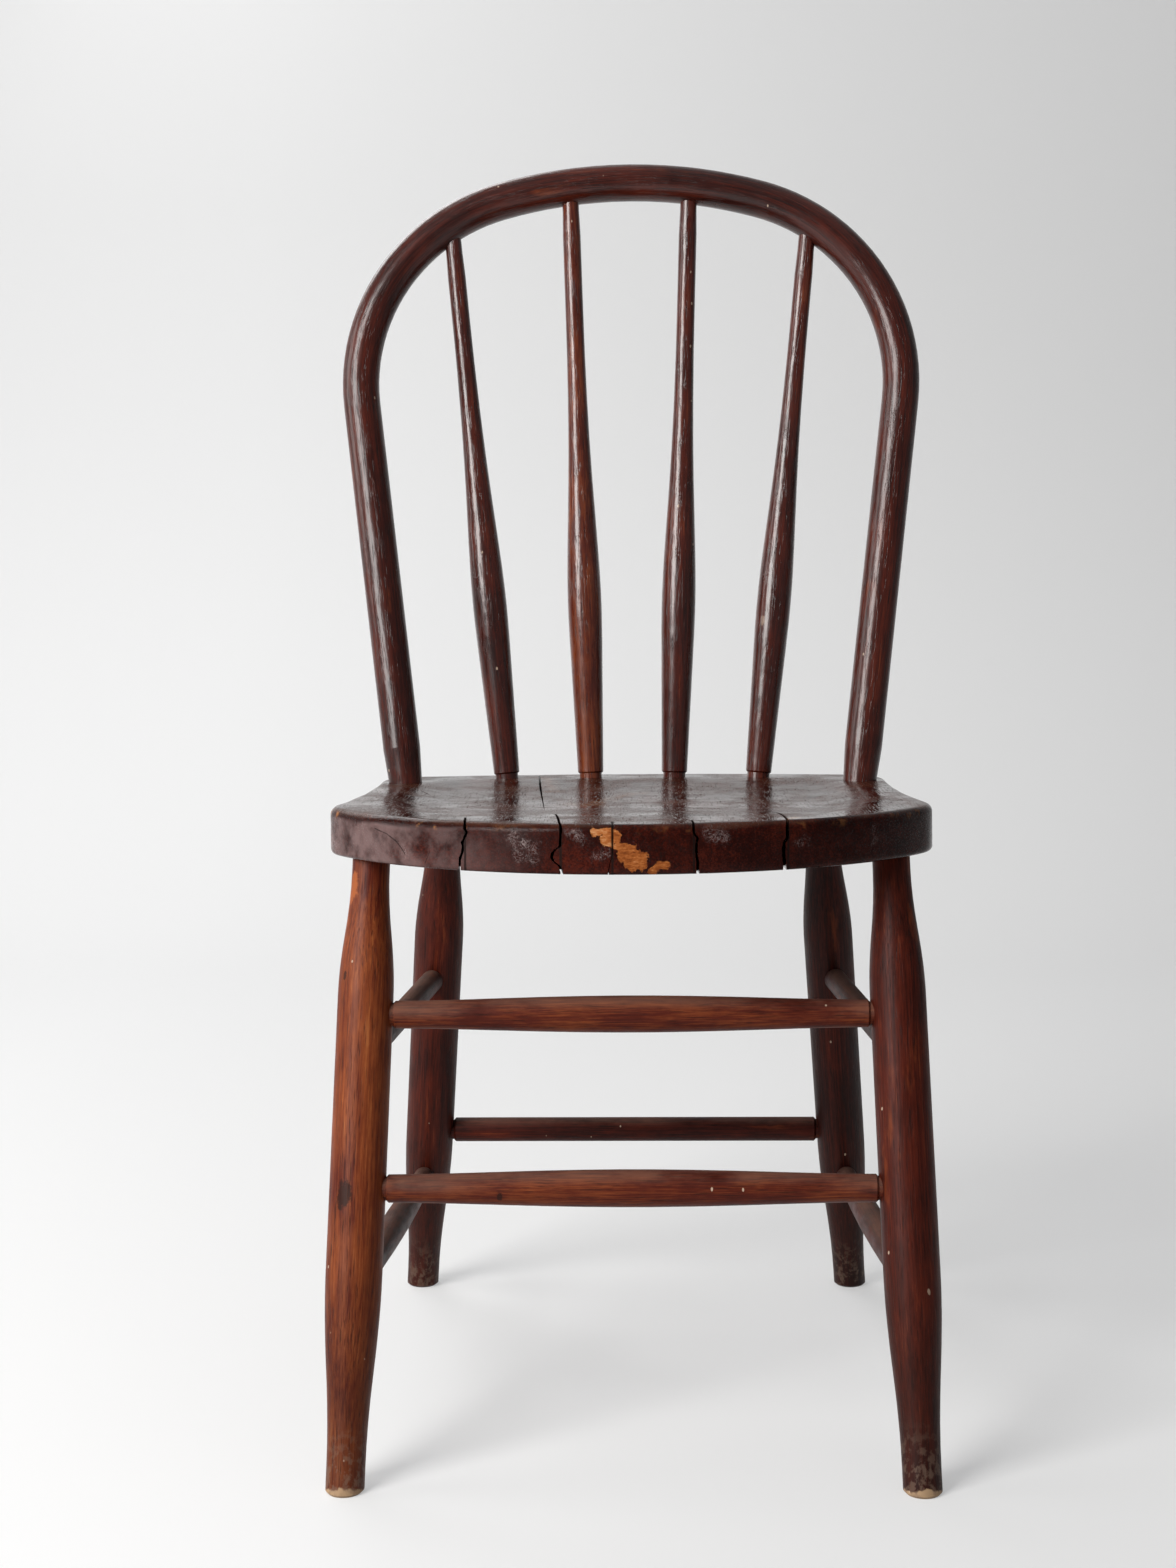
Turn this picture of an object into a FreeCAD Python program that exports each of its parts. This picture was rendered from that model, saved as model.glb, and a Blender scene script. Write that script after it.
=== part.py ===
# Hoop-back Windsor side chair: a plank seat on four turned legs tied by seven stretchers,
# with a bent bow and four turned spindles above. Every joint is a round glued tenon in a socket.
#
# Frame: millimetres, +Z up, floor at Z = 0, +X to the right seen from the front,
# -Y towards the front. The origin is on the floor under the middle of the chair's box.
# Seat points are given as (x, depth, height): depth runs back from the middle of the front edge
# and height stands up from the seat's flat top, both in the seat's own pitched plane.

import FreeCAD, Part
import math
import os

V = FreeCAD.Vector

# Glued joints
glue_gap = 0.1              # between every tenon and the wall of its socket
socket_end_gap = 0.6        # between a tenon's end and the bottom of a blind socket

# Seat plank
seat_height = 434.0         # flat top at the middle of the front edge, above the floor
seat_pitch = 1.5            # degrees that the seat falls towards the back
seat_thickness = 32.0
seat_depth = 412.0
seat_half_width = 209.0     # at the front corners, the widest place
seat_waist_half_width = 196.5
seat_back_half_width = 198.5
seat_front_sweep = 134.0    # how far the front corners lie behind the middle of the front edge
seat_back_sweep = 21.0      # how far the back corners lie in front of the middle of the back edge
seat_front_corner_radius = 60.0
seat_back_corner_radius = 42.0
seat_top_rounding = 6.0
seat_bottom_rounding = 3.0

# Dished sitting area
dish_depth = 7.0
dish_front_margin = 44.0    # flat left between the dish and the front edge
dish_back_margin = 48.0     # flat left between the dish and the back edge
dish_side_margin = 24.0     # flat left between the dish and the seat's waist
dish_cove_width = 45.0      # from the dish's floor up to its rim at the sides
dish_extra_swing = 1.5      # degrees that the scoop is swung on past the seat's surface at each end

# Legs
leg_foot_diameter = 25.4
leg_foot_chamfer = 1.6
leg_belly_diameter = 37.4
leg_neck_diameter = 25.4
leg_tenon_depth = 20.0      # into the underside of the seat
leg_foot_straight = 14.0    # straight stretch above the floor
leg_belly_start = 140.5     # height where the lower taper reaches the belly
leg_belly_stop = 96.0       # distance below the seat where the upper taper leaves the belly
leg_neck_straight = 10.0    # straight stretch below the seat
front_leg_side_inset = 33.3     # leg centre under the seat, in from the seat's widest place
front_leg_front_inset = 112.7   # leg centre under the seat, behind the front edge
front_leg_splay = 1.62          # degrees outwards
front_leg_rake = 16.3           # degrees forwards
back_leg_side_inset = 55.5
back_leg_back_inset = 101.0
back_leg_splay = 4.75
back_leg_rake = 16.3            # degrees backwards

# Stretchers, each by the height of its ends on the legs
stretcher_tenon_depth = 20.0
stretcher_end_chamfer = 1.5
stretcher_shoulder_gap = 0.3    # between a stretcher's shoulder and the leg's belly
front_upper_height = 296.1
front_lower_height = 185.7
back_height = 140.0
side_upper_front_height = 269.1
side_upper_back_height = 273.0
side_lower_front_height = 121.5
side_lower_back_height = 103.0
front_stretcher_end_diameter = 18.6
front_stretcher_belly_diameter = 24.8
front_stretcher_tenon_diameter = 15.8
back_stretcher_diameter = 19.0
back_stretcher_tenon_diameter = 15.4
side_upper_diameter = 16.8
side_lower_end_diameter = 16.4
side_lower_belly_diameter = 20.0
side_tenon_diameter = 13.6

# Bow
bow_diameter = 28.5
bow_neck_diameter = 25.4    # where a post of the bow meets the seat
bow_tenon_end_diameter = 23.0
bow_neck_length = 26.0      # taper above the seat
bow_apex = 472.0            # middle of the rod at the top, from the seat along the bow's plane
bow_rake = 11.3             # degrees that the bow's plane leans back from upright
bow_post_splay = 6.75       # degrees that each post leans outwards
bow_post_side_inset = 24.0  # post centre on the seat, in from the seat's back half width
bow_post_back_inset = 74.0
bow_top_radius = 371.5      # long flat arc over the top
bow_shoulder_radius = 150.0
wedge_height = 20.0         # up into the post's tenon from below
wedge_thick_end = 3.2
wedge_thin_end = 0.8

# Spindles
spindle_base_spacing = 65.6
spindle_top_spacing = 93.4
spindle_back_inset = 30.0   # centres on the seat, in from the back edge
spindle_foot_diameter = 20.0
spindle_belly_diameter = 26.8
spindle_neck_diameter = 14.0
spindle_tip_diameter = 12.9
spindle_foot_tenon_diameter = 17.4
spindle_foot_tenon_depth = 18.0
spindle_tip_tenon_depth = 12.0
spindle_shoulder_gap = 3.0  # bare tenon that shows between the spindle and the seat
spindle_foot_chamfer = 1.2
spindle_belly_height = 128.0
spindle_crest_length = 16.0     # straight swelling stops this far below the belly
spindle_crest_reach = 3.4       # how far the rounded crest is pulled on, in crest lengths
spindle_neck_height = 365.0
spindle_neck_ease = 150.0       # long hollow run into the neck
spindle_tip_straight = 3.0      # plain tip between the neck's taper and the bow
spindle_tip_taper = 20.0    # above the neck, where it slims to the tip

# Turned tapers
taper_softness = 0.42       # share of a taper's length that each of its ends holds parallel

# Length of the cutting tools beyond what they cut
cut_margin = 10.0


def seat_offset(x, depth, height):
    """Step from the middle of the seat's front edge to a seat point, in the chair's frame."""
    pitch = math.radians(seat_pitch)
    along = depth * math.cos(pitch) + height * math.sin(pitch)
    up = height * math.cos(pitch) - depth * math.sin(pitch)
    return V(x, along, up)


def foot_place(depth, rake):
    """How far behind the seat's front edge a leg from this depth meets the floor."""
    leg_top = seat_offset(0, depth, -seat_thickness)
    return leg_top.y + math.tan(math.radians(rake)) * (seat_height + leg_top.z)


def middle_of_box():
    """Distance of the chair's middle behind the seat's front edge, from its outermost points."""
    front_foot = leg_foot_diameter / 2 / math.cos(math.radians(front_leg_rake))
    back_foot = leg_foot_diameter / 2 / math.cos(math.radians(back_leg_rake))
    post = seat_offset(0, seat_depth - bow_post_back_inset, 0)
    front = foot_place(front_leg_front_inset, -front_leg_rake) - front_foot
    back_of_feet = foot_place(seat_depth - back_leg_back_inset, back_leg_rake) + back_foot
    back_of_bow = post.y + bow_apex * math.sin(math.radians(bow_rake)) + bow_diameter / 2
    return (min(front, 0) + max(back_of_feet, back_of_bow)) / 2


seat_front = V(0, -middle_of_box(), seat_height)


def on_seat(x, depth, height=0.0):
    """Seat point in the chair's frame."""
    return seat_front + seat_offset(x, depth, height)


def placed_on_seat(shape):
    """Carry a shape from the seat's own frame to the chair's."""
    moved = shape.copy()
    moved.Placement = FreeCAD.Placement(seat_front, FreeCAD.Rotation(V(1, 0, 0), -seat_pitch))
    return moved


def along_axis(shape, base, tip):
    """Stand a shape that was turned about Z on the line from base to tip."""
    moved = shape.copy()
    moved.Placement = FreeCAD.Placement(base, FreeCAD.Rotation(V(0, 0, 1), tip - base))
    return moved


def rod(base, tip, radius):
    """Plain round cutter between two points."""
    axis = tip - base
    return Part.makeCylinder(radius, axis.Length, base, axis)


class Turning:
    """Half outline of a turned piece, drawn upwards as (radius, height), then spun about its axis."""

    def __init__(self, radius, height):
        self.bottom = height
        self.here = (radius, height)
        self.edges = [self._edge((0.0, height), self.here)]

    def _edge(self, start, end):
        return Part.LineSegment(V(start[0], 0, start[1]), V(end[0], 0, end[1])).toShape()

    def line_to(self, radius, height):
        if math.dist(self.here, (radius, height)) > 1e-6:
            self.edges.append(self._edge(self.here, (radius, height)))
            self.here = (radius, height)
        return self

    def curve_to(self, *poles):
        """Smooth curve pulled towards each (radius, height) pole in turn, ending on the last."""
        curve = Part.BezierCurve()
        curve.setPoles([V(radius, 0, height) for radius, height in (self.here,) + poles])
        self.edges.append(curve.toShape())
        self.here = poles[-1]
        return self

    def taper_to(self, radius, height):
        """S-shaped taper that starts and ends parallel to the axis."""
        start_radius, start_height = self.here
        handle = taper_softness * (height - start_height)
        poles = [(start_radius, start_height + handle), (radius, height - handle), (radius, height)]
        return self.curve_to(*poles)

    def solid(self):
        top = self.here[1]
        self.edges.append(self._edge(self.here, (0.0, top)))
        self.edges.append(self._edge((0.0, top), (0.0, self.bottom)))
        face = Part.Face(Part.Wire(self.edges))
        return face.revolve(V(0, 0, 0), V(0, 0, 1), 360)


# Seat

def seat_outline():
    """Plan of the seat: a deep curve in front, waisted sides and a flat curve behind."""
    corner = V(seat_half_width, seat_front_sweep, 0)
    back_corner = V(seat_back_half_width, seat_depth - seat_back_sweep, 0)
    waist = V(seat_waist_half_width, (corner.y + back_corner.y) / 2, 0)

    def mirrored(point):
        return V(-point.x, point.y, point.z)

    front = Part.Arc(mirrored(corner), V(0, 0, 0), corner)
    right = Part.Arc(corner, waist, back_corner)
    back = Part.Arc(back_corner, V(0, seat_depth, 0), mirrored(back_corner))
    left = Part.Arc(mirrored(back_corner), mirrored(waist), mirrored(corner))
    return Part.Wire([arc.toShape() for arc in (front, right, back, left)])


def upright_edges(solid, in_front):
    """The plank's upright corner edges, the front pair or the back pair."""
    chosen = []
    for edge in solid.Edges:
        box = edge.BoundBox
        if box.ZLength < seat_thickness / 2:
            continue
        if (box.YMin < seat_depth / 2) == in_front:
            chosen.append(edge)
    return chosen


def level_edges(solid, height):
    """Every edge of the plank that lies at one height."""
    return [e for e in solid.Edges if e.BoundBox.ZLength < 0.01 and abs(e.BoundBox.ZMin - height) < 0.01]


def dish_cutter():
    """Scoop for the dish: a level floor with coved sides, swung front to back on one long arc."""
    half_length = (seat_depth - dish_front_margin - dish_back_margin) / 2
    swing_radius = (half_length ** 2 + dish_depth ** 2) / (2 * dish_depth)
    half_width = seat_waist_half_width - dish_side_margin
    floor = half_width - dish_cove_width
    cove_radius = (dish_cove_width ** 2 + dish_depth ** 2) / (2 * dish_depth)
    half_turn = math.asin(dish_cove_width / cove_radius) / 2
    halfway_out = floor + cove_radius * math.sin(half_turn)
    halfway_up = cove_radius * (1 - math.cos(half_turn)) - dish_depth

    def cove(side):
        points = [(floor, -dish_depth), (halfway_out, halfway_up), (half_width, 0)]
        return Part.Arc(*[V(side * x, 0, z) for x, z in points]).toShape()

    rim = [(half_width, 0), (half_width, cut_margin), (-half_width, cut_margin), (-half_width, 0)]
    corners = [V(x, 0, z) for x, z in rim]
    edges = [Part.LineSegment(V(-floor, 0, -dish_depth), V(floor, 0, -dish_depth)).toShape(), cove(1)]
    edges += [Part.LineSegment(start, end).toShape() for start, end in zip(corners, corners[1:])]
    edges.append(cove(-1))
    section = Part.Face(Part.Wire(edges))
    centre = V(0, 0, swing_radius - dish_depth)
    swing = math.degrees(math.asin(half_length / swing_radius)) + dish_extra_swing
    section.rotate(centre, V(1, 0, 0), -swing)
    scoop = section.revolve(centre, V(1, 0, 0), 2 * swing)
    scoop.translate(V(0, dish_front_margin + half_length, 0))
    return scoop


def make_seat(cutters):
    plank = Part.Face(seat_outline()).extrude(V(0, 0, -seat_thickness))
    plank = plank.makeFillet(seat_front_corner_radius, upright_edges(plank, True))
    plank = plank.makeFillet(seat_back_corner_radius, upright_edges(plank, False))
    plank = plank.makeFillet(seat_top_rounding, level_edges(plank, 0.0))
    plank = plank.makeFillet(seat_bottom_rounding, level_edges(plank, -seat_thickness))
    plank = plank.cut(dish_cutter())
    return placed_on_seat(plank).cut(cutters)


# Legs

class Leg:
    """One leg: its straight axis, its turned solid and the sockets drilled into it."""

    def __init__(self, side, splay, rake, x, depth):
        self.top = on_seat(side * x, depth, -seat_thickness)
        out = side * self.top.z * math.tan(math.radians(splay))
        along = self.top.z * math.tan(math.radians(rake))
        self.foot = V(self.top.x + out, self.top.y + along, 0)
        self.direction = (self.top - self.foot).normalize()
        self.sockets = []

    def at_height(self, height):
        """Point of the leg's axis at a height above the floor."""
        return self.foot + (self.top - self.foot) * (height / self.top.z)

    def seat_socket(self):
        deep = leg_tenon_depth + socket_end_gap
        start = self.top - self.direction * cut_margin
        return rod(start, self.top + self.direction * deep, leg_neck_diameter / 2 + glue_gap)

    def solid(self):
        foot = leg_foot_diameter / 2
        belly = leg_belly_diameter / 2
        neck = leg_neck_diameter / 2
        length = (self.top - self.foot).Length
        outline = Turning(foot, -cut_margin)
        outline.line_to(foot, leg_foot_straight)
        outline.taper_to(belly, leg_belly_start)
        outline.line_to(belly, length - leg_belly_stop)
        outline.taper_to(neck, length - leg_neck_straight)
        outline.line_to(neck, length + leg_tenon_depth)
        turned = along_axis(outline.solid(), self.foot, self.top)
        wide = 4 * leg_belly_diameter
        corner = V(self.foot.x - wide / 2, self.foot.y - wide / 2, -wide)
        standing = turned.cut(Part.makeBox(wide, wide, wide, corner))
        rim = [e for e in standing.Edges if abs(e.BoundBox.ZMax) < 0.01]
        return standing.makeChamfer(leg_foot_chamfer, rim).cut(self.sockets)


def make_legs():
    front_x = seat_half_width - front_leg_side_inset
    back_x = seat_back_half_width - back_leg_side_inset
    back_depth = seat_depth - back_leg_back_inset
    legs = {}
    for side, word in ((-1, "left"), (1, "right")):
        legs["front_" + word] = Leg(side, front_leg_splay, -front_leg_rake, front_x, front_leg_front_inset)
        legs["back_" + word] = Leg(side, back_leg_splay, back_leg_rake, back_x, back_depth)
    return legs


# Stretchers

def shoulder_distance(leg, axis, radius):
    """From the leg's axis to a stretcher's shoulder that just clears the slanting belly."""
    slant = math.asin(abs(leg.direction.dot(axis)))
    return leg_belly_diameter / 2 / math.cos(slant) + radius * math.tan(slant) + stretcher_shoulder_gap


def stretcher(first, first_height, second, second_height, end, belly, tenon):
    """Turned rail between two legs, swelled from its end diameter to its belly diameter."""
    start = first.at_height(first_height)
    finish = second.at_height(second_height)
    axis = (finish - start).normalize()
    span = (finish - start).Length
    small = end / 2 - stretcher_end_chamfer
    near_shoulder = shoulder_distance(first, axis, small)
    far_shoulder = span - shoulder_distance(second, axis, small)
    tenon_end = leg_belly_diameter / 2 - stretcher_tenon_depth
    low = near_shoulder + stretcher_end_chamfer
    high = far_shoulder - stretcher_end_chamfer
    outline = Turning(tenon / 2, tenon_end)
    outline.line_to(tenon / 2, near_shoulder)
    outline.line_to(small, near_shoulder)
    outline.line_to(end / 2, low)
    if belly > end:
        # a four-part curve reaches 3/8 of the way from its ends' radius to its middle pole
        pull = end / 2 + (belly - end) / 2 * 8 / 3
        quarter = (high - low) / 4
        middle = (low + high) / 2
        swell = [(end / 2, low + quarter), (pull, middle), (end / 2, high - quarter), (end / 2, high)]
        outline.curve_to(*swell)
    else:
        outline.line_to(end / 2, high)
    outline.line_to(small, far_shoulder)
    outline.line_to(tenon / 2, far_shoulder)
    outline.line_to(tenon / 2, span - tenon_end)
    bore = tenon / 2 + glue_gap
    deep = tenon_end - socket_end_gap
    first.sockets.append(rod(start + axis * deep, start + axis * (near_shoulder + cut_margin), bore))
    second.sockets.append(rod(finish - axis * deep, start + axis * (far_shoulder - cut_margin), bore))
    return along_axis(outline.solid(), start, finish)


def make_stretchers(legs):
    front = (front_stretcher_end_diameter, front_stretcher_belly_diameter, front_stretcher_tenon_diameter)
    back = (back_stretcher_diameter, back_stretcher_diameter, back_stretcher_tenon_diameter)
    side_upper = (side_upper_diameter, side_upper_diameter, side_tenon_diameter)
    side_lower = (side_lower_end_diameter, side_lower_belly_diameter, side_tenon_diameter)

    def across(end, height, sizes):
        return stretcher(legs[end + "_left"], height, legs[end + "_right"], height, *sizes)

    rails = {
        "stretcher_front_upper": across("front", front_upper_height, front),
        "stretcher_front_lower": across("front", front_lower_height, front),
        "stretcher_back": across("back", back_height, back),
    }
    for word in ("left", "right"):
        fore = legs["front_" + word]
        hind = legs["back_" + word]
        upper = stretcher(fore, side_upper_front_height, hind, side_upper_back_height, *side_upper)
        lower = stretcher(fore, side_lower_front_height, hind, side_lower_back_height, *side_lower)
        rails["stretcher_" + word + "_upper"] = upper
        rails["stretcher_" + word + "_lower"] = lower
    return rails


# Bow

post_x = seat_back_half_width - bow_post_side_inset
post_depth = seat_depth - bow_post_back_inset


def on_bow(x, rise):
    """Point of the bow's leaning plane: rise runs up that plane from the seat's top."""
    rake = math.radians(bow_rake)
    return on_seat(0, post_depth) + V(x, rise * math.sin(rake), rise * math.cos(rake))


def shoulder_circle():
    """Centre (x, rise) of the right shoulder arc, tangent to its post and to the top arc."""
    splay = math.radians(bow_post_splay)
    top_centre = bow_apex - bow_top_radius
    start_x = post_x - bow_shoulder_radius * math.cos(splay)
    start_rise = bow_shoulder_radius * math.sin(splay) - top_centre
    along = start_x * math.sin(splay) + start_rise * math.cos(splay)
    room = start_x ** 2 + start_rise ** 2 - (bow_top_radius - bow_shoulder_radius) ** 2
    travel = math.sqrt(along ** 2 - room) - along
    return start_x + travel * math.sin(splay), top_centre + start_rise + travel * math.cos(splay)


def top_junction():
    """Point (x, rise) where the right shoulder arc runs into the top arc."""
    centre_x, centre_rise = shoulder_circle()
    top_centre = bow_apex - bow_top_radius
    stretch = bow_top_radius / (bow_top_radius - bow_shoulder_radius)
    return centre_x * stretch, top_centre + (centre_rise - top_centre) * stretch


def bow_rise(x):
    """Rise of the bow's centre line above a distance x from the middle."""
    joint_x = top_junction()[0]
    if abs(x) <= joint_x:
        return bow_apex - bow_top_radius + math.sqrt(bow_top_radius ** 2 - x ** 2)
    centre_x, centre_rise = shoulder_circle()
    return centre_rise + math.sqrt(bow_shoulder_radius ** 2 - (abs(x) - centre_x) ** 2)


def bow_path():
    """Centre line of the bent rod from neck to neck: post, shoulder, top, shoulder, post."""
    splay = math.radians(bow_post_splay)
    centre_x, centre_rise = shoulder_circle()
    joint_x, joint_rise = top_junction()
    neck = (post_x + bow_neck_length * math.sin(splay), bow_neck_length * math.cos(splay))
    bend_x = centre_x + bow_shoulder_radius * math.cos(splay)
    bend_rise = centre_rise - bow_shoulder_radius * math.sin(splay)
    joint_angle = math.atan2(joint_rise - centre_rise, joint_x - centre_x)
    half_way = (joint_angle - splay) / 2
    middle_x = centre_x + bow_shoulder_radius * math.cos(half_way)
    middle_rise = centre_rise + bow_shoulder_radius * math.sin(half_way)

    def post_edge(side):
        return Part.LineSegment(on_bow(side * neck[0], neck[1]), on_bow(side * bend_x, bend_rise)).toShape()

    def shoulder_edge(side):
        ends = (on_bow(side * bend_x, bend_rise), on_bow(side * joint_x, joint_rise))
        return Part.Arc(ends[0], on_bow(side * middle_x, middle_rise), ends[1]).toShape()

    ends = (on_bow(-joint_x, joint_rise), on_bow(joint_x, joint_rise))
    top = Part.Arc(ends[0], on_bow(0, bow_apex), ends[1]).toShape()
    edges = [post_edge(-1), shoulder_edge(-1), top, shoulder_edge(1), post_edge(1)]
    return Part.Wire(Part.sortEdges(edges)[0])


def post_line(side):
    """Foot of a post on the seat's top and the direction that it rises in."""
    splay = math.radians(bow_post_splay)
    foot = on_bow(side * post_x, 0)
    return foot, (on_bow(side * (post_x + math.sin(splay)), math.cos(splay)) - foot).normalize()


def post_turning(clearance):
    """Round tapered foot of a post: a through tenon in the seat and the neck above it."""
    neck = bow_neck_diameter / 2 + clearance
    end = bow_tenon_end_diameter / 2 + clearance
    slope = (neck - end) / seat_thickness
    below = seat_thickness + cut_margin
    outline = Turning(neck - slope * below, -below).line_to(neck, 0)
    return outline.line_to(bow_diameter / 2 + clearance, bow_neck_length)


def make_bow(spindle_sockets):
    """Bent rod, its two tapered feet and the tenons cut level with the underside of the seat."""
    path = bow_path()
    start = path.OrderedVertexes[0].Point
    heading = path.OrderedVertexes[1].Point - start
    section = Part.Wire(Part.makeCircle(bow_diameter / 2, start, heading))
    shell = Part.BRepOffsetAPI.MakePipeShell(path)
    shell.add(section)
    shell.build()
    shell.makeSolid()
    bow = shell.shape()
    feet = []
    for side in (-1, 1):
        foot, direction = post_line(side)
        feet.append(along_axis(post_turning(0).solid(), foot, foot + direction))
    bow = bow.fuse(feet).removeSplitter()
    wide = 4 * seat_half_width
    under = Part.makeBox(wide, wide, wide, V(-wide / 2, -wide / 4, -wide - seat_thickness))
    bow = bow.cut(placed_on_seat(under))
    return bow.cut(spindle_sockets)


def post_socket(side):
    """Tapered hole right through the seat for a post's tenon."""
    foot, direction = post_line(side)
    return along_axis(post_turning(glue_gap).solid(), foot, foot + direction)


def wedge_blank(side, clearance):
    """Long thin wedge across the seat's grain, point up, under one post."""
    foot, direction = post_line(side)
    end = on_seat(0, 0, -seat_thickness)
    normal = (on_seat(0, 0, 1) - on_seat(0, 0, 0)).normalize()
    travel = (end - foot).dot(normal) / direction.dot(normal)
    base = foot + direction * travel
    thick = wedge_thick_end / 2 + clearance
    thin = wedge_thin_end / 2 + clearance
    slope = (thick - thin) / wedge_height
    low = thick + slope * cut_margin
    high = wedge_height + clearance
    corners = [(-low, -cut_margin), (low, -cut_margin), (thin, high), (-thin, high)]
    points = [V(-bow_neck_diameter, y, z) for y, z in corners]
    face = Part.Face(Part.makePolygon(points + points[:1]))
    blank = face.extrude(V(2 * bow_neck_diameter, 0, 0))
    return along_axis(blank, base, base + direction)


def make_wedge(side, bow_foot):
    """Wedge trimmed to the tenon that it spreads, level with the underside of the seat."""
    return wedge_blank(side, 0).common(bow_foot)


# Spindles

def spindle_axis(place):
    """Foot on the seat and end on the bow's centre line; place counts from the middle: 0.5 or 1.5."""
    base_x = place * spindle_base_spacing
    arc = (seat_back_half_width ** 2 + seat_back_sweep ** 2) / (2 * seat_back_sweep)
    edge = seat_depth - arc + math.sqrt(arc ** 2 - base_x ** 2)
    foot = on_seat(base_x, edge - spindle_back_inset)
    top_x = place * spindle_top_spacing
    return foot, on_bow(top_x, bow_rise(top_x))


def spindle_entry(place):
    """Distance from a spindle's foot to where its neck would touch the slanting rod of the bow."""
    foot, end = spindle_axis(place)
    top_x = place * spindle_top_spacing
    along_bow = on_bow(top_x + 1, bow_rise(top_x + 1)) - on_bow(top_x - 1, bow_rise(top_x - 1))
    slant = math.asin(abs(along_bow.normalize().dot((end - foot).normalize())))
    clear = bow_diameter / 2 / math.cos(slant) + spindle_neck_diameter / 2 * math.tan(slant)
    return (end - foot).Length - clear


def make_spindle(place):
    """Turned spindle with a shouldered tenon below and a plain tapered tip above."""
    foot, end = spindle_axis(place)
    entry = spindle_entry(place)
    reach = (end - foot).Length - bow_diameter / 2 + spindle_tip_tenon_depth
    tenon = spindle_foot_tenon_diameter / 2
    base = spindle_foot_diameter / 2
    belly = spindle_belly_diameter / 2
    neck = spindle_neck_diameter / 2
    tip = spindle_tip_diameter / 2
    tip_start = entry - spindle_tip_straight
    neck_height = min(spindle_neck_height, tip_start - 1.5 * spindle_tip_taper)
    swell_start = spindle_shoulder_gap + spindle_foot_chamfer
    slope = (belly - base) / (spindle_belly_height - swell_start)
    crest = spindle_crest_length
    outline = Turning(tenon, -spindle_foot_tenon_depth)
    outline.line_to(tenon, spindle_shoulder_gap)
    outline.line_to(base - spindle_foot_chamfer, spindle_shoulder_gap)
    outline.line_to(base, swell_start)
    outline.line_to(belly - slope * crest, spindle_belly_height - crest)
    outline.curve_to(
        (belly + slope * crest * spindle_crest_reach, spindle_belly_height + crest * spindle_crest_reach),
        (neck, neck_height - spindle_neck_ease),
        (neck, neck_height),
    )
    outline.line_to(neck, tip_start - spindle_tip_taper)
    outline.line_to(tip, tip_start)
    outline.line_to(tip, reach)
    return along_axis(outline.solid(), foot, end)


def spindle_seat_socket(place):
    foot, end = spindle_axis(place)
    direction = (end - foot).normalize()
    deep = spindle_foot_tenon_depth + socket_end_gap
    radius = spindle_foot_tenon_diameter / 2 + glue_gap
    return rod(foot - direction * deep, foot + direction * cut_margin, radius)


def spindle_bow_socket(place):
    foot, end = spindle_axis(place)
    direction = (end - foot).normalize()
    start = foot + direction * (spindle_entry(place) - cut_margin)
    finish = end - direction * (bow_diameter / 2 - spindle_tip_tenon_depth - socket_end_gap)
    return rod(start, finish, spindle_tip_diameter / 2 + glue_gap)


# Assembly

def build():
    nodes = {}
    legs = make_legs()
    nodes.update(make_stretchers(legs))
    for name, leg in legs.items():
        nodes["leg_" + name] = leg.solid()

    places = {"left_outer": -1.5, "left_inner": -0.5, "right_inner": 0.5, "right_outer": 1.5}
    for name, place in places.items():
        nodes["spindle_" + name] = make_spindle(place)

    bow = make_bow([spindle_bow_socket(place) for place in places.values()])
    for side, word in ((-1, "left"), (1, "right")):
        nodes["bow_wedge_" + word] = make_wedge(side, bow)
        bow = bow.cut(wedge_blank(side, glue_gap))
    nodes["bow"] = bow

    cutters = [leg.seat_socket() for leg in legs.values()]
    cutters += [spindle_seat_socket(place) for place in places.values()]
    cutters += [post_socket(side) for side in (-1, 1)]
    nodes["seat"] = make_seat(cutters)
    return nodes


def only_solid(name, shape):
    """The single solid of a piece."""
    if len(shape.Solids) != 1 or not shape.isValid():
        raise ValueError(name + " is not one valid solid")
    return shape.Solids[0]


os.makedirs("parts", exist_ok=True)
for node, shape in sorted(build().items()):
    only_solid(node, shape).exportStep("parts/" + node + ".step")
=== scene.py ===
import math
import random

import bmesh
import bpy
from mathutils import Matrix, Vector, noise


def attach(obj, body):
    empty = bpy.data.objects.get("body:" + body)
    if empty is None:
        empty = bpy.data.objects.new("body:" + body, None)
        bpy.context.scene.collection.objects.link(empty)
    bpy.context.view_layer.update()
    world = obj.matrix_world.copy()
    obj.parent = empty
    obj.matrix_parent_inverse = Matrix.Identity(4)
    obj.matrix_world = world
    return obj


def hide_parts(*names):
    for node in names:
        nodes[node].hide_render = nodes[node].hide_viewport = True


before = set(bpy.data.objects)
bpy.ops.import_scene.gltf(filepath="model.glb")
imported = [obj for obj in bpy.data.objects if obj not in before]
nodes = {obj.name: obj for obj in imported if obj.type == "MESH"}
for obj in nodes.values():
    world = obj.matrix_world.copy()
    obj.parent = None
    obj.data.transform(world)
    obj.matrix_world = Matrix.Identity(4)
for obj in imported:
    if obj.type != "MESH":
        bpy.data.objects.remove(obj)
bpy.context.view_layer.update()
scene = bpy.context.scene
MM = 0.001  # millimetres to metres

# The seat's own frame, as in the CAD: x to the right, depth back from the middle of the front edge,
# height up from the flat top
SEAT_FRONT = Vector((0, -213.26, 434.0))
SEAT_PITCH = math.radians(1.5)
SEAT_THICK = 32.0


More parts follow.
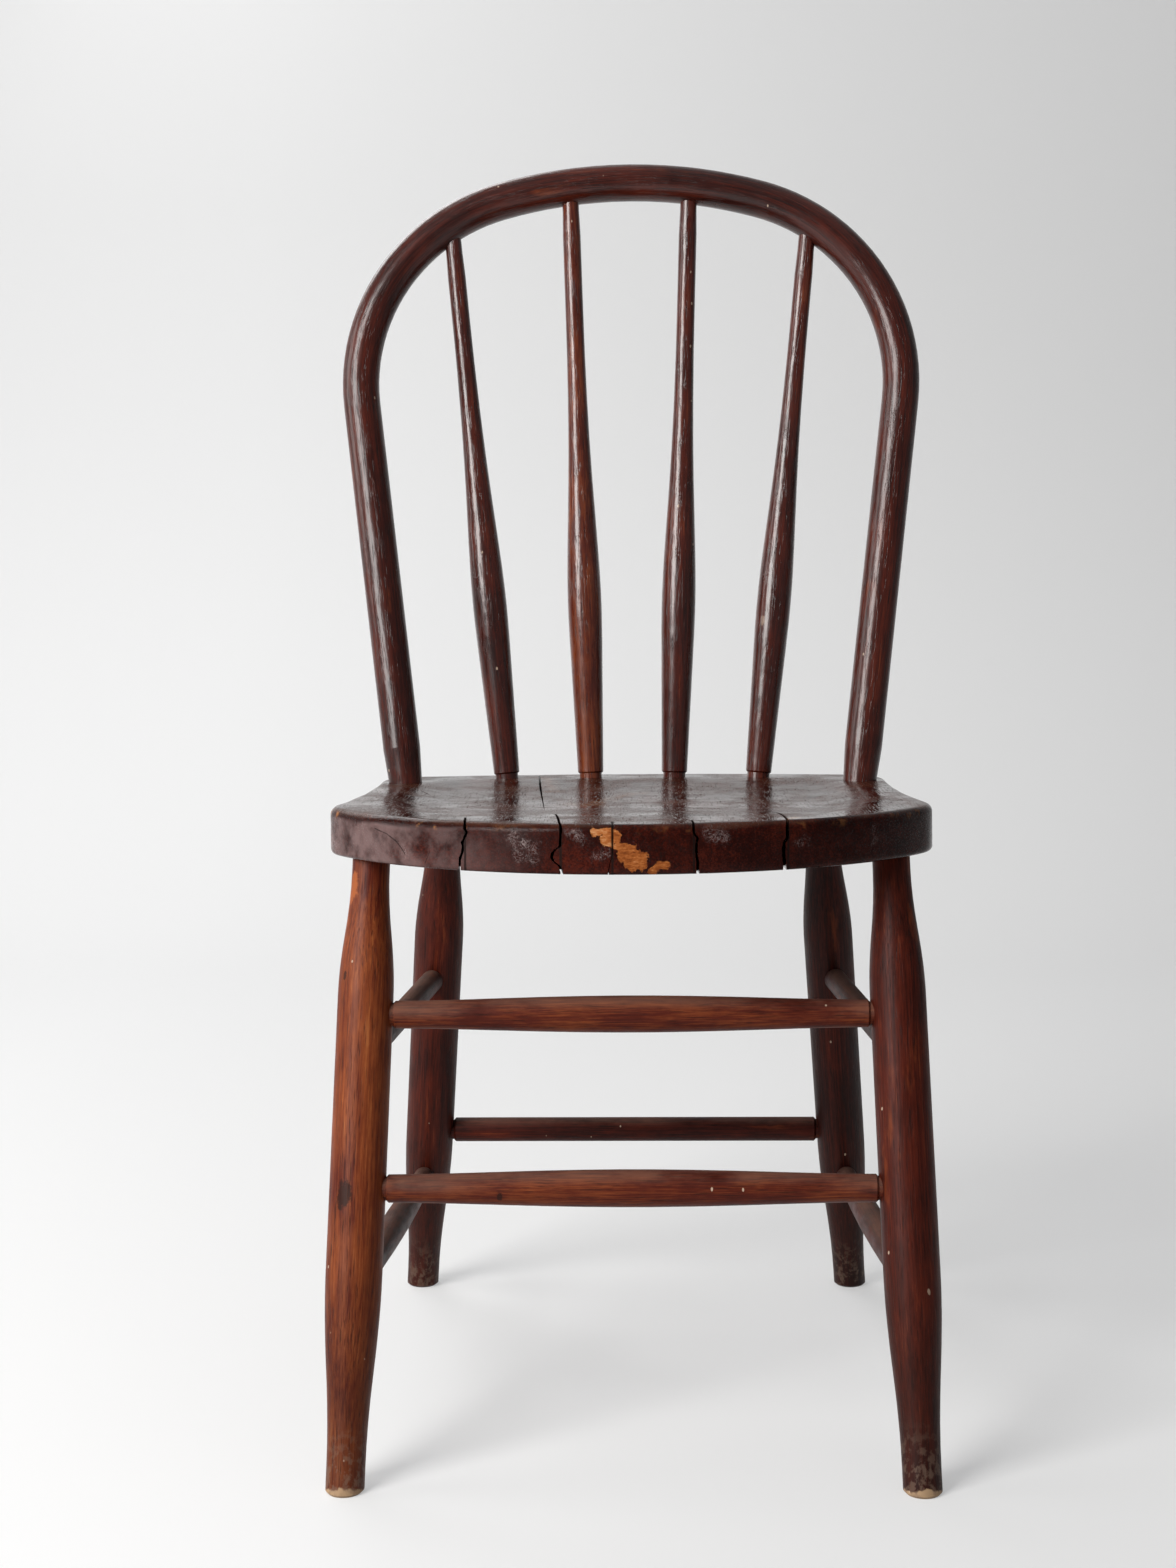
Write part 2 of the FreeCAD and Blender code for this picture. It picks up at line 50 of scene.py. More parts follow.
def on_seat(x, depth, height=0.0):
    """Point of the scene, in metres, for a point given in the seat's frame in millimetres."""
    along = depth * math.cos(SEAT_PITCH) + height * math.sin(SEAT_PITCH)
    up = height * math.cos(SEAT_PITCH) - depth * math.sin(SEAT_PITCH)
    return (SEAT_FRONT + Vector((x, along, up))) * MM


def quarter_turn(steps):
    """Angles from 0 to 90 degrees, in radians."""
    return [math.radians(90 * step / steps) for step in range(steps + 1)]


# Shader helpers

class Graph:
    """Builds one material's nodes. Values may be numbers, tuples or sockets."""

    def __init__(self, name):
        self.material = bpy.data.materials.new(name)
        self.material.use_nodes = True
        self.tree = self.material.node_tree
        self.shader = self.tree.nodes["Principled BSDF"]

    def put(self, socket, value):
        if isinstance(value, bpy.types.NodeSocket):
            self.tree.links.new(value, socket)
        else:
            socket.default_value = value

    def add(self, kind, out=0, settings=None, **values):
        node = self.tree.nodes.new(kind)
        for key, value in (settings or {}).items():
            setattr(node, key, value)
        for key, value in values.items():
            place = int(key[1:]) if key[0] == "i" and key[1:].isdigit() else key.replace("_", " ")
            self.put(node.inputs[place], value)
        return node.outputs[out]

    def math(self, operation, a, b=0.0, c=0.0, clamp=False):
        settings = {"operation": operation, "use_clamp": clamp}
        return self.add("ShaderNodeMath", settings=settings, i0=a, i1=b, i2=c)

    def vector(self, operation, a, b=(0.0, 0.0, 0.0), out=0):
        return self.add("ShaderNodeVectorMath", out, {"operation": operation}, i0=a, i1=b)

    def scaled(self, vector, x, y, z):
        return self.vector("MULTIPLY", vector, (x, y, z))

    def parts(self, vector):
        node = self.tree.nodes.new("ShaderNodeSeparateXYZ")
        self.put(node.inputs[0], vector)
        return node.outputs[0], node.outputs[1], node.outputs[2]

    def joined(self, x, y, z):
        return self.add("ShaderNodeCombineXYZ", i0=x, i1=y, i2=z)

    def noise(self, vector, scale=1.0, detail=3.0, roughness=0.5, distortion=0.0, out="Fac"):
        return self.add("ShaderNodeTexNoise", out, Vector=vector, Scale=scale, Detail=detail,
                        Roughness=roughness, Distortion=distortion)

    def ramp(self, value, low, high):
        """0 below low, 1 above high, smooth between; low may be above high."""
        settings = {"interpolation_type": "SMOOTHSTEP"}
        return self.add("ShaderNodeMapRange", settings=settings, i0=value, i1=low, i2=high, i3=0.0, i4=1.0)

    def mix(self, share, a, b):
        node = self.tree.nodes.new("ShaderNodeMix")
        node.data_type = "RGBA"
        self.put(node.inputs[0], share)
        self.put(node.inputs[6], a)
        self.put(node.inputs[7], b)
        return node.outputs[2]

    def colours(self, value, *stops):
        node = self.tree.nodes.new("ShaderNodeValToRGB")
        ramp = node.color_ramp
        for element, (place, colour) in zip(ramp.elements, (stops[0], stops[-1])):
            element.position = place
            element.color = (*colour, 1)
        for place, colour in stops[1:-1]:
            ramp.elements.new(place).color = (*colour, 1)
        self.put(node.inputs[0], value)
        return node.outputs[0]

    def bump(self, height, distance, normal=None):
        values = {"Height": height, "Distance": distance, "Strength": 1.0}
        if normal is not None:
            values["Normal"] = normal
        return self.add("ShaderNodeBump", **values)


def srgb(red, green, blue):
    """Linear colour of an 8-bit one."""
    linear = []
    for level in (red, green, blue):
        share = level / 255
        linear.append(((share + 0.055) / 1.055) ** 2.4 if level > 10 else share / 12.92)
    return tuple(linear)


def local_point(graph, origin, axis):
    """Coordinates in metres from a piece's middle, z along its grain."""
    point = graph.add("ShaderNodeTexCoord", "Object")
    turn = Vector(axis).to_track_quat("Z", "Y").to_euler()
    return graph.add("ShaderNodeMapping", settings={"vector_type": "TEXTURE"},
                     Vector=point, Location=tuple(origin), Rotation=tuple(turn))


def wood_layers(graph, point, light):
    """(colour, height, blotches) of old stained wood; z of point runs along the grain."""
    warp = graph.noise(graph.scaled(point, 9, 9, 2.5), detail=2, out="Color")
    warp = graph.vector("SUBTRACT", warp, (0.5, 0.5, 0.5))
    bent = graph.vector("ADD", point, graph.scaled(warp, 0.010, 0.010, 0.0))
    fibre = graph.noise(graph.scaled(bent, 800, 800, 28), detail=4, roughness=0.7)
    streak = graph.noise(graph.scaled(bent, 170, 170, 6), detail=4, roughness=0.62)
    across, _, _ = graph.parts(bent)
    ring = graph.math("MULTIPLY_ADD", across, 160, graph.math("MULTIPLY", streak, 1.6))
    ring = graph.math("PINGPONG", ring, 0.5)
    ring = graph.ramp(ring, 0.02, 0.34)
    blotch = graph.noise(graph.scaled(point, 24, 24, 12), detail=5, roughness=0.66)
    pores = graph.ramp(graph.noise(graph.scaled(bent, 1000, 1000, 55), detail=3), 0.56, 0.68)

    tone = graph.math("MULTIPLY_ADD", fibre, 0.66, graph.math("MULTIPLY", streak, 0.24))
    tone = graph.math("MULTIPLY_ADD", ring, 0.04, tone)
    tone = graph.math("MULTIPLY_ADD", blotch, 0.64, tone)
    tone = graph.math("ADD", tone, -0.71 + 0.62 * light)
    colour = graph.colours(
        tone,
        (0.00, srgb(16, 4, 3)),
        (0.22, srgb(44, 12, 7)),
        (0.45, srgb(82, 29, 17)),
        (0.68, srgb(132, 66, 34)),
        (1.00, srgb(190, 120, 68)),
    )
    colour = graph.mix(graph.math("MULTIPLY", pores, 0.55), colour, (*srgb(18, 6, 4), 1))
    height = graph.math("MULTIPLY_ADD", fibre, 0.35, graph.math("MULTIPLY", pores, -0.55))
    return colour, height, blotch


def specks(graph, point, per_metre, size, share):
    """Small round flecks: 1 on a fleck."""
    node = graph.tree.nodes.new("ShaderNodeTexVoronoi")
    graph.put(node.inputs["Vector"], point)
    graph.put(node.inputs["Scale"], per_metre)
    chosen = graph.ramp(graph.parts(node.outputs["Color"])[0], share + 0.01, share)
    near = graph.ramp(graph.math("DIVIDE", node.outputs["Distance"], per_metre), size, size * 0.6)
    return graph.math("MULTIPLY", chosen, near)


# Camera and studio

# The photograph's camera, in metres, radians and pixels
CAMERA_PLACE = (0.0118077, -1.724148, 0.6251883)
CAMERA_YAW = -0.0247806
CAMERA_PITCH = 0.1088541
CAMERA_ROLL = -0.0079662
FOCAL_LENGTH_PX = 2418.648
IMAGE_HEIGHT_PX = 1568
SENSOR_MM = 36.0

# The floor runs back to a quarter round and up into a wall
FLOOR_FRONT = -9.0
WALL_START = 1.6
WALL_ROUND = 1.2
WALL_TOP = 5.0
SWEEP_HALF_WIDTH = 7.0
ROUND_STEPS = 16

MIDDLE_OF_CHAIR = (0.0, 0.0, 0.45)
DAYLIGHT = (1.0, 0.985, 0.965)
WHITE = (1.0, 1.0, 1.0)


def make_camera():
    """The photograph's viewpoint, worked back from the chair in it."""
    forward = Vector((
        math.sin(CAMERA_YAW) * math.cos(CAMERA_PITCH),
        math.cos(CAMERA_YAW) * math.cos(CAMERA_PITCH),
        -math.sin(CAMERA_PITCH),
    ))
    level_right = Vector((math.cos(CAMERA_YAW), -math.sin(CAMERA_YAW), 0))
    level_up = level_right.cross(forward)
    right = math.cos(CAMERA_ROLL) * level_right + math.sin(CAMERA_ROLL) * level_up
    up = math.cos(CAMERA_ROLL) * level_up - math.sin(CAMERA_ROLL) * level_right
    data = bpy.data.cameras.new("camera")
    data.sensor_width = SENSOR_MM
    data.lens = FOCAL_LENGTH_PX / IMAGE_HEIGHT_PX * SENSOR_MM
    camera = bpy.data.objects.new("camera", data)
    turn = Matrix((right, up, -forward)).transposed().to_4x4()
    camera.matrix_world = Matrix.Translation(CAMERA_PLACE) @ turn
    scene.collection.objects.link(camera)
    scene.camera = camera


def sweep_profile():
    """(y, z) along the floor, round the bend and up the wall."""
    profile = [(FLOOR_FRONT, 0.0), (WALL_START, 0.0)]
    for turn in quarter_turn(ROUND_STEPS)[1:]:
        y = WALL_START + WALL_ROUND * math.sin(turn)
        profile.append((y, WALL_ROUND - WALL_ROUND * math.cos(turn)))
    profile.append((WALL_START + WALL_ROUND, WALL_TOP))
    return profile


def sweep_paint():
    """Pale paint with painted light: a glow lifts it for the camera and for reflections, most near the
    chair and less so to the right, as a painted falloff of the window's light; away from the chair the
    paint is darker, as painted shade.
    """
    graph = Graph("sweep_paint")
    x, y, z = graph.parts(graph.add("ShaderNodeTexCoord", "Object"))
    # painted light: a pool of light around the chair, fading to the front and to the right
    painted_pool_near_chair = graph.math("MULTIPLY", graph.ramp(y, -3.4, -0.7), graph.ramp(x, 3.4, 1.3))
    # painted falloff of the window's light from left to right
    painted_falloff_to_right = graph.add("ShaderNodeMapRange", i0=x, i1=-0.7, i2=1.2, i3=1.0, i4=0.68)
    seen = graph.add("ShaderNodeLightPath", "Is Camera Ray")
    seen = graph.math("MAXIMUM", seen, graph.add("ShaderNodeLightPath", "Is Glossy Ray"))
    seen = graph.math("MAXIMUM", seen, graph.add("ShaderNodeLightPath", "Is Transmission Ray"))
    painted_lift = graph.math("MULTIPLY", seen, graph.math("MULTIPLY_ADD", painted_pool_near_chair, 0.18, 0.24))
    painted_lift = graph.math("MULTIPLY", painted_lift, painted_falloff_to_right)
    floor_to_wall = graph.mix(graph.ramp(z, 0.0, 1.0), (0.52, 0.52, 0.52, 1), (0.47, 0.47, 0.47, 1))
    # painted shade: the paint is darker away from the chair
    paint_colour = graph.mix(painted_pool_near_chair, (0.40, 0.40, 0.40, 1), floor_to_wall)
    graph.put(graph.shader.inputs["Base Color"], paint_colour)
    graph.put(graph.shader.inputs["Emission Strength"], painted_lift)
    graph.shader.inputs["Emission Color"].default_value = (0.99, 0.995, 1.0, 1)
    graph.shader.inputs["Roughness"].default_value = 0.8
    graph.shader.inputs["Specular IOR Level"].default_value = 0.05
    return graph.material


def make_sweep():
    work = bmesh.new()
    profile = sweep_profile()
    left = [work.verts.new((-SWEEP_HALF_WIDTH, y, z)) for y, z in profile]
    right = [work.verts.new((SWEEP_HALF_WIDTH, y, z)) for y, z in profile]
    for k in range(len(profile) - 1):
        work.faces.new((left[k], right[k], right[k + 1], left[k + 1])).smooth = True
    mesh = bpy.data.meshes.new("sweep")
    work.to_mesh(mesh)
    work.free()
    mesh.materials.append(sweep_paint())
    sweep = bpy.data.objects.new("sweep", mesh)
    scene.collection.objects.link(sweep)


def area_light(name, place, size, power, colour, target=MIDDLE_OF_CHAIR):
    """Rectangular lamp that faces the target; power in watts."""
    data = bpy.data.lights.new(name, "AREA")
    data.shape = "RECTANGLE"
    data.size, data.size_y = size
    data.energy = power
    data.color = colour
    lamp = bpy.data.objects.new(name, data)
    lamp.location = place
    lamp.rotation_euler = (Vector(target) - Vector(place)).to_track_quat("-Z", "Y").to_euler()
    scene.collection.objects.link(lamp)


def make_studio():
    """Pale sweep, a window-like lamp at the front left, weak fill from the left, behind and above."""
    make_sweep()
    area_light("window", (-1.9, -1.95, 1.75), (1.5, 1.8), 102, DAYLIGHT)
    area_light("side_window", (-2.9, 0.1, 1.5), (1.2, 1.6), 20, DAYLIGHT)
    area_light("back_fill", (-1.3, 2.1, 2.4), (1.8, 1.4), 26, WHITE)
    area_light("ceiling", (0.0, -0.2, 3.4), (4.0, 4.0), 9, WHITE, target=(0.0, 0.0, 0.0))

    world = bpy.data.worlds.new("world")
    scene.world = world
    world.use_nodes = True
    background = world.node_tree.nodes["Background"]
    background.inputs["Color"].default_value = (0.97, 0.98, 1.0, 1)
    background.inputs["Strength"].default_value = 0.18
    scene.view_settings.view_transform = "Standard"


# Finish of the turned and bent pieces

# How far in front of the origin the front feet stand, in metres
FRONT_OF_FEET = 0.231


def dust_share(graph, own_point, blotch, dusty, dull_ends):
    """Dust where a piece faces up; its varnish is dull too from dull_ends metres off its middle."""
    _, _, up = graph.parts(graph.add("ShaderNodeNewGeometry", "Normal"))
    dust = graph.math("MULTIPLY", graph.ramp(up, 0.35, 0.95), graph.ramp(blotch, 0.30, 0.62))
    dust = graph.math("MULTIPLY", dust, dusty)
    if dull_ends:
        from_middle = graph.math("ABSOLUTE", graph.parts(own_point)[2])
        dull = graph.ramp(from_middle, dull_ends - 0.07, dull_ends)
        dull = graph.math("MULTIPLY", dull, graph.ramp(blotch, 0.34, 0.56))
        dust = graph.math("MAXIMUM", dust, graph.math("MULTIPLY", dull, graph.ramp(up, -0.4, 0.6)))
    return dust


def foot_wear(graph, colour, world_point, foot):
    """Soil on the lower leg, scuffs and a pale worn bevel; foot is the bevel's height in metres."""
    _, behind, height = graph.parts(world_point)
    soil = graph.math("MULTIPLY", graph.ramp(height, 0.20, 0.03), 0.45)
    colour = graph.mix(soil, colour, (*srgb(40, 20, 14), 1))
    ragged = graph.noise(graph.scaled(world_point, 210, 210, 150), detail=4, roughness=0.62)
    coarse = graph.noise(graph.scaled(world_point, 60, 60, 40), detail=2)
    edge = graph.math("MULTIPLY_ADD", ragged, 0.006, graph.math("MULTIPLY_ADD", coarse, 0.008, height))
    edge = graph.math("SUBTRACT", edge, 0.007)
    tilted = graph.math("MULTIPLY_ADD", graph.math("ADD", behind, FRONT_OF_FEET), 0.35, edge)
    pale = graph.ramp(tilted, foot + 0.0008, foot - 0.0008)
    colour = graph.mix(graph.math("MULTIPLY", pale, 0.9), colour, (*srgb(176, 146, 114), 1))
    scuffed = graph.math("MULTIPLY", graph.ramp(edge, 0.055, 0.010), graph.ramp(ragged, 0.46, 0.62))
    return graph.mix(graph.math("MULTIPLY", scuffed, 0.45), colour, (*srgb(120, 98, 84), 1))


def marked(graph, colour, world_point, marks):
    """Ragged spots at (place, radius, colour, strength), twice as tall as they are wide."""
    for place, radius, shade, strength in marks:
        away = graph.vector("DISTANCE", graph.scaled(world_point, 1, 1, 0.5),
                            (place[0], place[1], place[2] * 0.5), out="Value")
        uneven = graph.noise(graph.scaled(world_point, 260, 260, 200), detail=4, roughness=0.65)
        away = graph.math("MULTIPLY_ADD", uneven, 1.6 * radius, away)
        spot = graph.ramp(away, radius * 1.85, radius * 1.45)
        colour = graph.mix(graph.math("MULTIPLY", spot, strength), colour, (*shade, 1))
    return colour


def turned_wood(name, middle, axis, seed, light, gloss, foot=0.0, dusty=0.5, coat=0.0, dull_ends=0.0,
                marks=()):
    """Finish of one piece; middle and axis place its grain, or the mesh's grain attribute does.

    foot is the height of a leg's worn bevel, dusty the strength of the dust, coat that of the varnish."""
    graph = Graph(name)
    if axis is None:
        own_point = graph.add("ShaderNodeAttribute", "Vector", {"attribute_name": "grain"})
    else:
        own_point = local_point(graph, middle, axis)
    point = graph.vector("ADD", own_point, (0.37 * seed, 0.23 * seed, 0.71 * seed))
    colour, height, blotch = wood_layers(graph, point, light)
    world_point = graph.add("ShaderNodeTexCoord", "Object")

    dust = dust_share(graph, own_point, blotch, dusty, dull_ends)
    colour = graph.mix(graph.math("MULTIPLY", dust, 0.45), colour, (*srgb(122, 96, 84), 1))

    # rubbed places where the stain is worn thin
    rub = graph.ramp(graph.noise(graph.scaled(point, 55, 55, 14), detail=4, roughness=0.62), 0.62, 0.76)
    rub = graph.math("MULTIPLY", rub, 0.45)
    colour = graph.mix(rub, colour, (*srgb(140, 68, 34), 1))

    if foot:
        colour = foot_wear(graph, colour, world_point, foot)
    colour = marked(graph, colour, world_point, marks)
    fleck = specks(graph, graph.scaled(world_point, 1, 1, 0.6), 85, 0.0009, 0.30)
    colour = graph.mix(graph.math("MULTIPLY", fleck, 0.75), colour, (*srgb(196, 172, 150), 1))

    uneven = graph.noise(graph.scaled(point, 160, 160, 60), detail=3)
    rough = graph.math("MULTIPLY_ADD", uneven, 0.30, gloss - 0.15)
    rough = graph.math("ADD", rough, graph.math("MULTIPLY", dust, 0.35))
    rough = graph.math("ADD", rough, graph.math("MULTIPLY", rub, 0.12))
    dents = graph.noise(graph.scaled(point, 90, 90, 40), detail=2)
    normal = graph.bump(dents, 0.00045)
    normal = graph.bump(height, 0.00016, normal)
    graph.put(graph.shader.inputs["Base Color"], colour)
    graph.put(graph.shader.inputs["Roughness"], rough)
    graph.put(graph.shader.inputs["Normal"], normal)
    graph.shader.inputs["Specular IOR Level"].default_value = 0.14 + 0.12 * coat
    graph.shader.inputs["Coat Weight"].default_value = coat
    graph.shader.inputs["Coat Roughness"].default_value = 0.15
    if coat:
        graph.put(graph.shader.inputs["Coat Normal"], normal)
    return graph.material


# Seat

# Plan and dish of the plank as in the CAD, in millimetres
SEAT_HALF_WIDTH = 209.0
SEAT_WAIST_HALF_WIDTH = 196.5
SEAT_BACK_HALF_WIDTH = 198.5
SEAT_DEPTH = 412.0
FRONT_SWEEP = 134.0
BACK_SWEEP = 21.0
FRONT_CORNER_RADIUS = 60.0
BACK_CORNER_RADIUS = 42.0
DISH_DEPTH = 7.0
DISH_MIDDLE = 204.0
DISH_HALF_LENGTH = 160.0
DISH_HALF_WIDTH = 127.5
DISH_COVE = 45.0
BOTTOM_EDGE_RADIUS = 3.0

# Where the posts of the bow stand, as in the CAD
POST_X = 174.5
POST_DEPTH = 338.0
POST_SPLAY = math.radians(6.75)
BACK_RAKE = math.radians(11.3)

# Distance between points along the outline, loops from the edge to the middle, and the middle itself
OUTLINE_STEP = 2.4
DISH_LOOPS = 60
SEAT_CENTRE = Vector((0, 205))


def circle_crossing(centre_a, radius_a, centre_b, radius_b, near):
    """The crossing of two circles that lies nearer to a given point."""
    between = centre_b - centre_a
    distance = between.length
    along = (distance ** 2 + radius_a ** 2 - radius_b ** 2) / (2 * distance)
    aside = math.sqrt(radius_a ** 2 - along ** 2)
    unit = between / distance
    middle = centre_a + unit * along
    sideways = Vector((-unit.y, unit.x)) * aside
    return min((middle + sideways, middle - sideways), key=lambda p: (p - near).length)


def arc_points(centre, radius, start, end, step):
    """Points from start to end on a circle the short way round, without the last."""
    first = math.atan2(start.y - centre.y, start.x - centre.x)
    turn = math.atan2(end.y - centre.y, end.x - centre.x) - first
    turn = (turn + math.pi) % (2 * math.pi) - math.pi
    count = max(2, round(abs(turn) * radius / step))
    angles = [first + turn * k / count for k in range(count)]
    return [centre + radius * Vector((math.cos(angle), math.sin(angle))) for angle in angles]


def arc_radius(half_chord, sweep):
    """Radius of an arc from half its chord and its rise."""
    return (half_chord ** 2 + sweep ** 2) / (2 * sweep)


def circle_through(a, b, c):
    """Centre and radius of the circle through three points."""
    area = 2 * (a.x * (b.y - c.y) + b.x * (c.y - a.y) + c.x * (a.y - b.y))
    x = (a.dot(a) * (b.y - c.y) + b.dot(b) * (c.y - a.y) + c.dot(c) * (a.y - b.y)) / area
    y = (a.dot(a) * (c.x - b.x) + b.dot(b) * (a.x - c.x) + c.dot(c) * (b.x - a.x)) / area
    centre = Vector((x, y))
    return centre, (b - centre).length


def seat_outline(step):
    """Plan of the seat, anticlockwise from the middle of the front edge, in millimetres."""
    front_radius = arc_radius(SEAT_HALF_WIDTH, FRONT_SWEEP)
    front_centre = Vector((0, front_radius))
    back_radius = arc_radius(SEAT_BACK_HALF_WIDTH, BACK_SWEEP)
    back_centre = Vector((0, SEAT_DEPTH - back_radius))
    front_corner = Vector((SEAT_HALF_WIDTH, FRONT_SWEEP))
    waist = Vector((SEAT_WAIST_HALF_WIDTH, (FRONT_SWEEP + SEAT_DEPTH - BACK_SWEEP) / 2))
    back_corner = Vector((SEAT_BACK_HALF_WIDTH, SEAT_DEPTH - BACK_SWEEP))
    side_centre, side_radius = circle_through(front_corner, waist, back_corner)
    corners = []
    for centre, radius, corner, rounding in (
        (front_centre, front_radius, front_corner, FRONT_CORNER_RADIUS),
        (back_centre, back_radius, back_corner, BACK_CORNER_RADIUS),
    ):
        middle = circle_crossing(centre, radius - rounding, side_centre, side_radius + rounding, corner)
        on_arc = centre + (middle - centre).normalized() * radius
        on_side = side_centre + (middle - side_centre).normalized() * side_radius
        corners.append((middle, on_arc, on_side))
    (front_middle, front_end, side_start), (back_middle, back_start, side_end) = corners
    back_end = Vector((0, SEAT_DEPTH))
    points = arc_points(front_centre, front_radius, Vector((0, 0)), front_end, step)
    points += arc_points(front_middle, FRONT_CORNER_RADIUS, front_end, side_start, step)
    points += arc_points(side_centre, side_radius, side_start, side_end, step)
    points += arc_points(back_middle, BACK_CORNER_RADIUS, side_end, back_start, step)
    points += arc_points(back_centre, back_radius, back_start, back_end, step)
    points.append(back_end)
    return points + [Vector((-p.x, p.y)) for p in reversed(points[1:-1])]


def dish_height(x, depth):
    """Height of the seat's top at a plan point: flat rim, coved dish and a little unevenness.

    The front half falls in a soft wave, the back half and the sides are arcs."""
    if depth < DISH_MIDDLE:
        share = (depth - DISH_MIDDLE + DISH_HALF_LENGTH) / DISH_HALF_LENGTH
        wave = -DISH_DEPTH * (1 - math.cos(math.pi * share)) / 2
        floor = wave if share > 0 else -0.08 * share * DISH_HALF_LENGTH
    else:
        swing = arc_radius(DISH_HALF_LENGTH, DISH_DEPTH)
        floor = -DISH_DEPTH + swing - math.sqrt(swing ** 2 - (depth - DISH_MIDDLE) ** 2)
    cove = arc_radius(DISH_COVE, DISH_DEPTH)
    outside = max(abs(x) - DISH_HALF_WIDTH, 0)
    scoop = floor + cove - math.sqrt(cove ** 2 - outside ** 2)
    softness = 0.55
    height = -softness * math.log1p(math.exp(-scoop / softness))
    place = Vector((x * 0.012, depth * 0.006, 3.1))
    return height + 0.35 * noise.noise(place) * min(1.0, -height / 2)


# Where the front edge has worn rounder: x, reach and extra radius, in millimetres
FRONT_PART = 150
WORN_PLACES = [(57, 17, 5.5), (-186, 16, 2.5), (-148, 30, 2.0), (105, 6, 2.0)]


def worn_radius(x, depth):
    """How round the top edge has worn there, in millimetres."""
    radius = 5.6 + 1.1 * noise.noise(Vector((x * 0.03, depth * 0.03, 7.7)))
    if depth < FRONT_PART:
        for middle, reach, extra in WORN_PLACES:
            radius += extra * math.exp(-((x - middle) / reach) ** 2)
    return radius


def edge_loops(outline):
    """Loops of (x, depth, height) up the plank's edge: rounded foot, wavy side, worn top edge."""
    count = len(outline)
    inward = []
    for k in range(count):
        tangent = (outline[(k + 1) % count] - outline[k - 1]).normalized()
        inward.append(Vector((-tangent.y, tangent.x)))
    radii = [worn_radius(p.x, p.y) for p in outline]

    # each level: inset, height, and the shares of the worn radius to add to them
    base = BOTTOM_EDGE_RADIUS
    levels = []
    for turn in quarter_turn(4):
        levels.append((base - base * math.sin(turn), -SEAT_THICK + base - base * math.cos(turn), 0, 0))
    for height in (-26.0, -23.0, -20.0, -17.0, -14.0):
        levels.append((0.0, height, 0, 0))
    for turn in quarter_turn(8):
        levels.append((0.0, 0.0, 1 - math.cos(turn), math.sin(turn) - 1))

    loops = []
    for inset_base, height_base, inset_share, height_share in levels:
        loop = []
        for point, normal, radius in zip(outline, inward, radii):
            inset = inset_base + inset_share * radius
            height = height_base + height_share * radius
            if -30 < height < -1:
                place = Vector((point.x * 0.025, point.y * 0.025, height * 0.06))
                inset += 0.35 * noise.noise(place) + 0.12 * noise.noise(place * 6)
            spot = point + normal * inset
            loop.append((spot.x, spot.y, height))
        loops.append(loop)
    return loops


def bridge(work, low, high):
    """Faces between two matching loops of vertices."""
    count = len(low)
    for k in range(count):
        n = (k + 1) % count
        work.faces.new((low[k], low[n], high[n], high[k]))


def fan(work, loop, tip):
    """Faces from a loop of vertices to one in its middle."""
    for k in range(len(loop)):
        work.faces.new((loop[k], loop[(k + 1) % len(loop)], tip))


def make_seat_mesh():
    loops = edge_loops(seat_outline(OUTLINE_STEP))
    rim = loops.pop()
    for step in range(DISH_LOOPS):
        loop = []
        for x, depth, _ in rim:
            spot = Vector((x, depth)).lerp(SEAT_CENTRE, step / DISH_LOOPS)
            loop.append((spot.x, spot.y, dish_height(spot.x, spot.y)))
        loops.append(loop)

    work = bmesh.new()
    grid = [[work.verts.new(on_seat(*p)) for p in loop] for loop in loops]
    for low, high in zip(grid, grid[1:]):
        bridge(work, low, high)
    fan(work, grid[-1], work.verts.new(on_seat(*SEAT_CENTRE, dish_height(*SEAT_CENTRE))))

    below = Vector((*SEAT_CENTRE, -SEAT_THICK))
    under = [list(reversed(grid[0]))]
    for share in (0.2, 0.4, 0.6, 0.8):
        loop = [work.verts.new(on_seat(*Vector(p).lerp(below, share))) for p in loops[0]]
        under.append(list(reversed(loop)))
    for outer, inner in zip(under, under[1:]):
        bridge(work, outer, inner)
    fan(work, under[-1], work.verts.new(on_seat(*below)))
    mesh = bpy.data.meshes.new("seat_plank")
    work.normal_update()
    work.to_mesh(mesh)
    work.free()
    return mesh


def front_depth(x):
    """How far behind the middle of the front edge it lies at x."""
    radius = arc_radius(SEAT_HALF_WIDTH, FRONT_SWEEP)
    return radius - math.sqrt(radius ** 2 - x ** 2)


def follow(path, place):
    """Second value of a path of (place, value) pairs, straight between them."""
    if place <= path[0][0]:
        return path[0][1]
    for (a, low), (b, high) in zip(path, path[1:]):
        if place <= b:
            return low + (high - low) * (place - a) / (b - a)
    return path[-1][1]


def blade(work, face_path, top_path, width, reach, seed):
    """Thin wavy wedge that cuts one drying crack from the front edge.

    face_path holds (distance below the top, x), top_path (distance behind the edge, x);
    reach is how far back it runs at the top and at the bottom."""
    rng = random.Random(seed)
    # rows from 4 mm above the plank to 4 mm below it, and shares of the reach
    drops = [-4.0 + 1.25 * k for k in range(33)]
    shares = [0, 0.03, 0.08, 0.15, 0.25, 0.4, 0.55, 0.7, 0.85, 1.0]
    start_x = top_path[0][1]
    jag = [0.75 + 0.5 * rng.random() for _ in drops]
    left, right = [], []
    for row, drop in enumerate(drops):
        down = min(max(drop / SEAT_THICK, 0), 1)
        far = reach[0] * (1 - down) + reach[1] * down
        rows = ([], [])
        for share in shares:
            back = far * share
            x = follow(face_path, drop) + follow(top_path, back) - start_x
            half = width / 2 * jag[row] * max(1 - share, 0) ** 0.35 + 0.02
            depth = front_depth(x) + back - (4.0 if share == 0 else 0)
            rows[0].append(work.verts.new(on_seat(x - half, depth, -drop)))
            rows[1].append(work.verts.new(on_seat(x + half, depth, -drop)))
        left.append(rows[0])
        right.append(rows[1])
    skin(work, left, right)


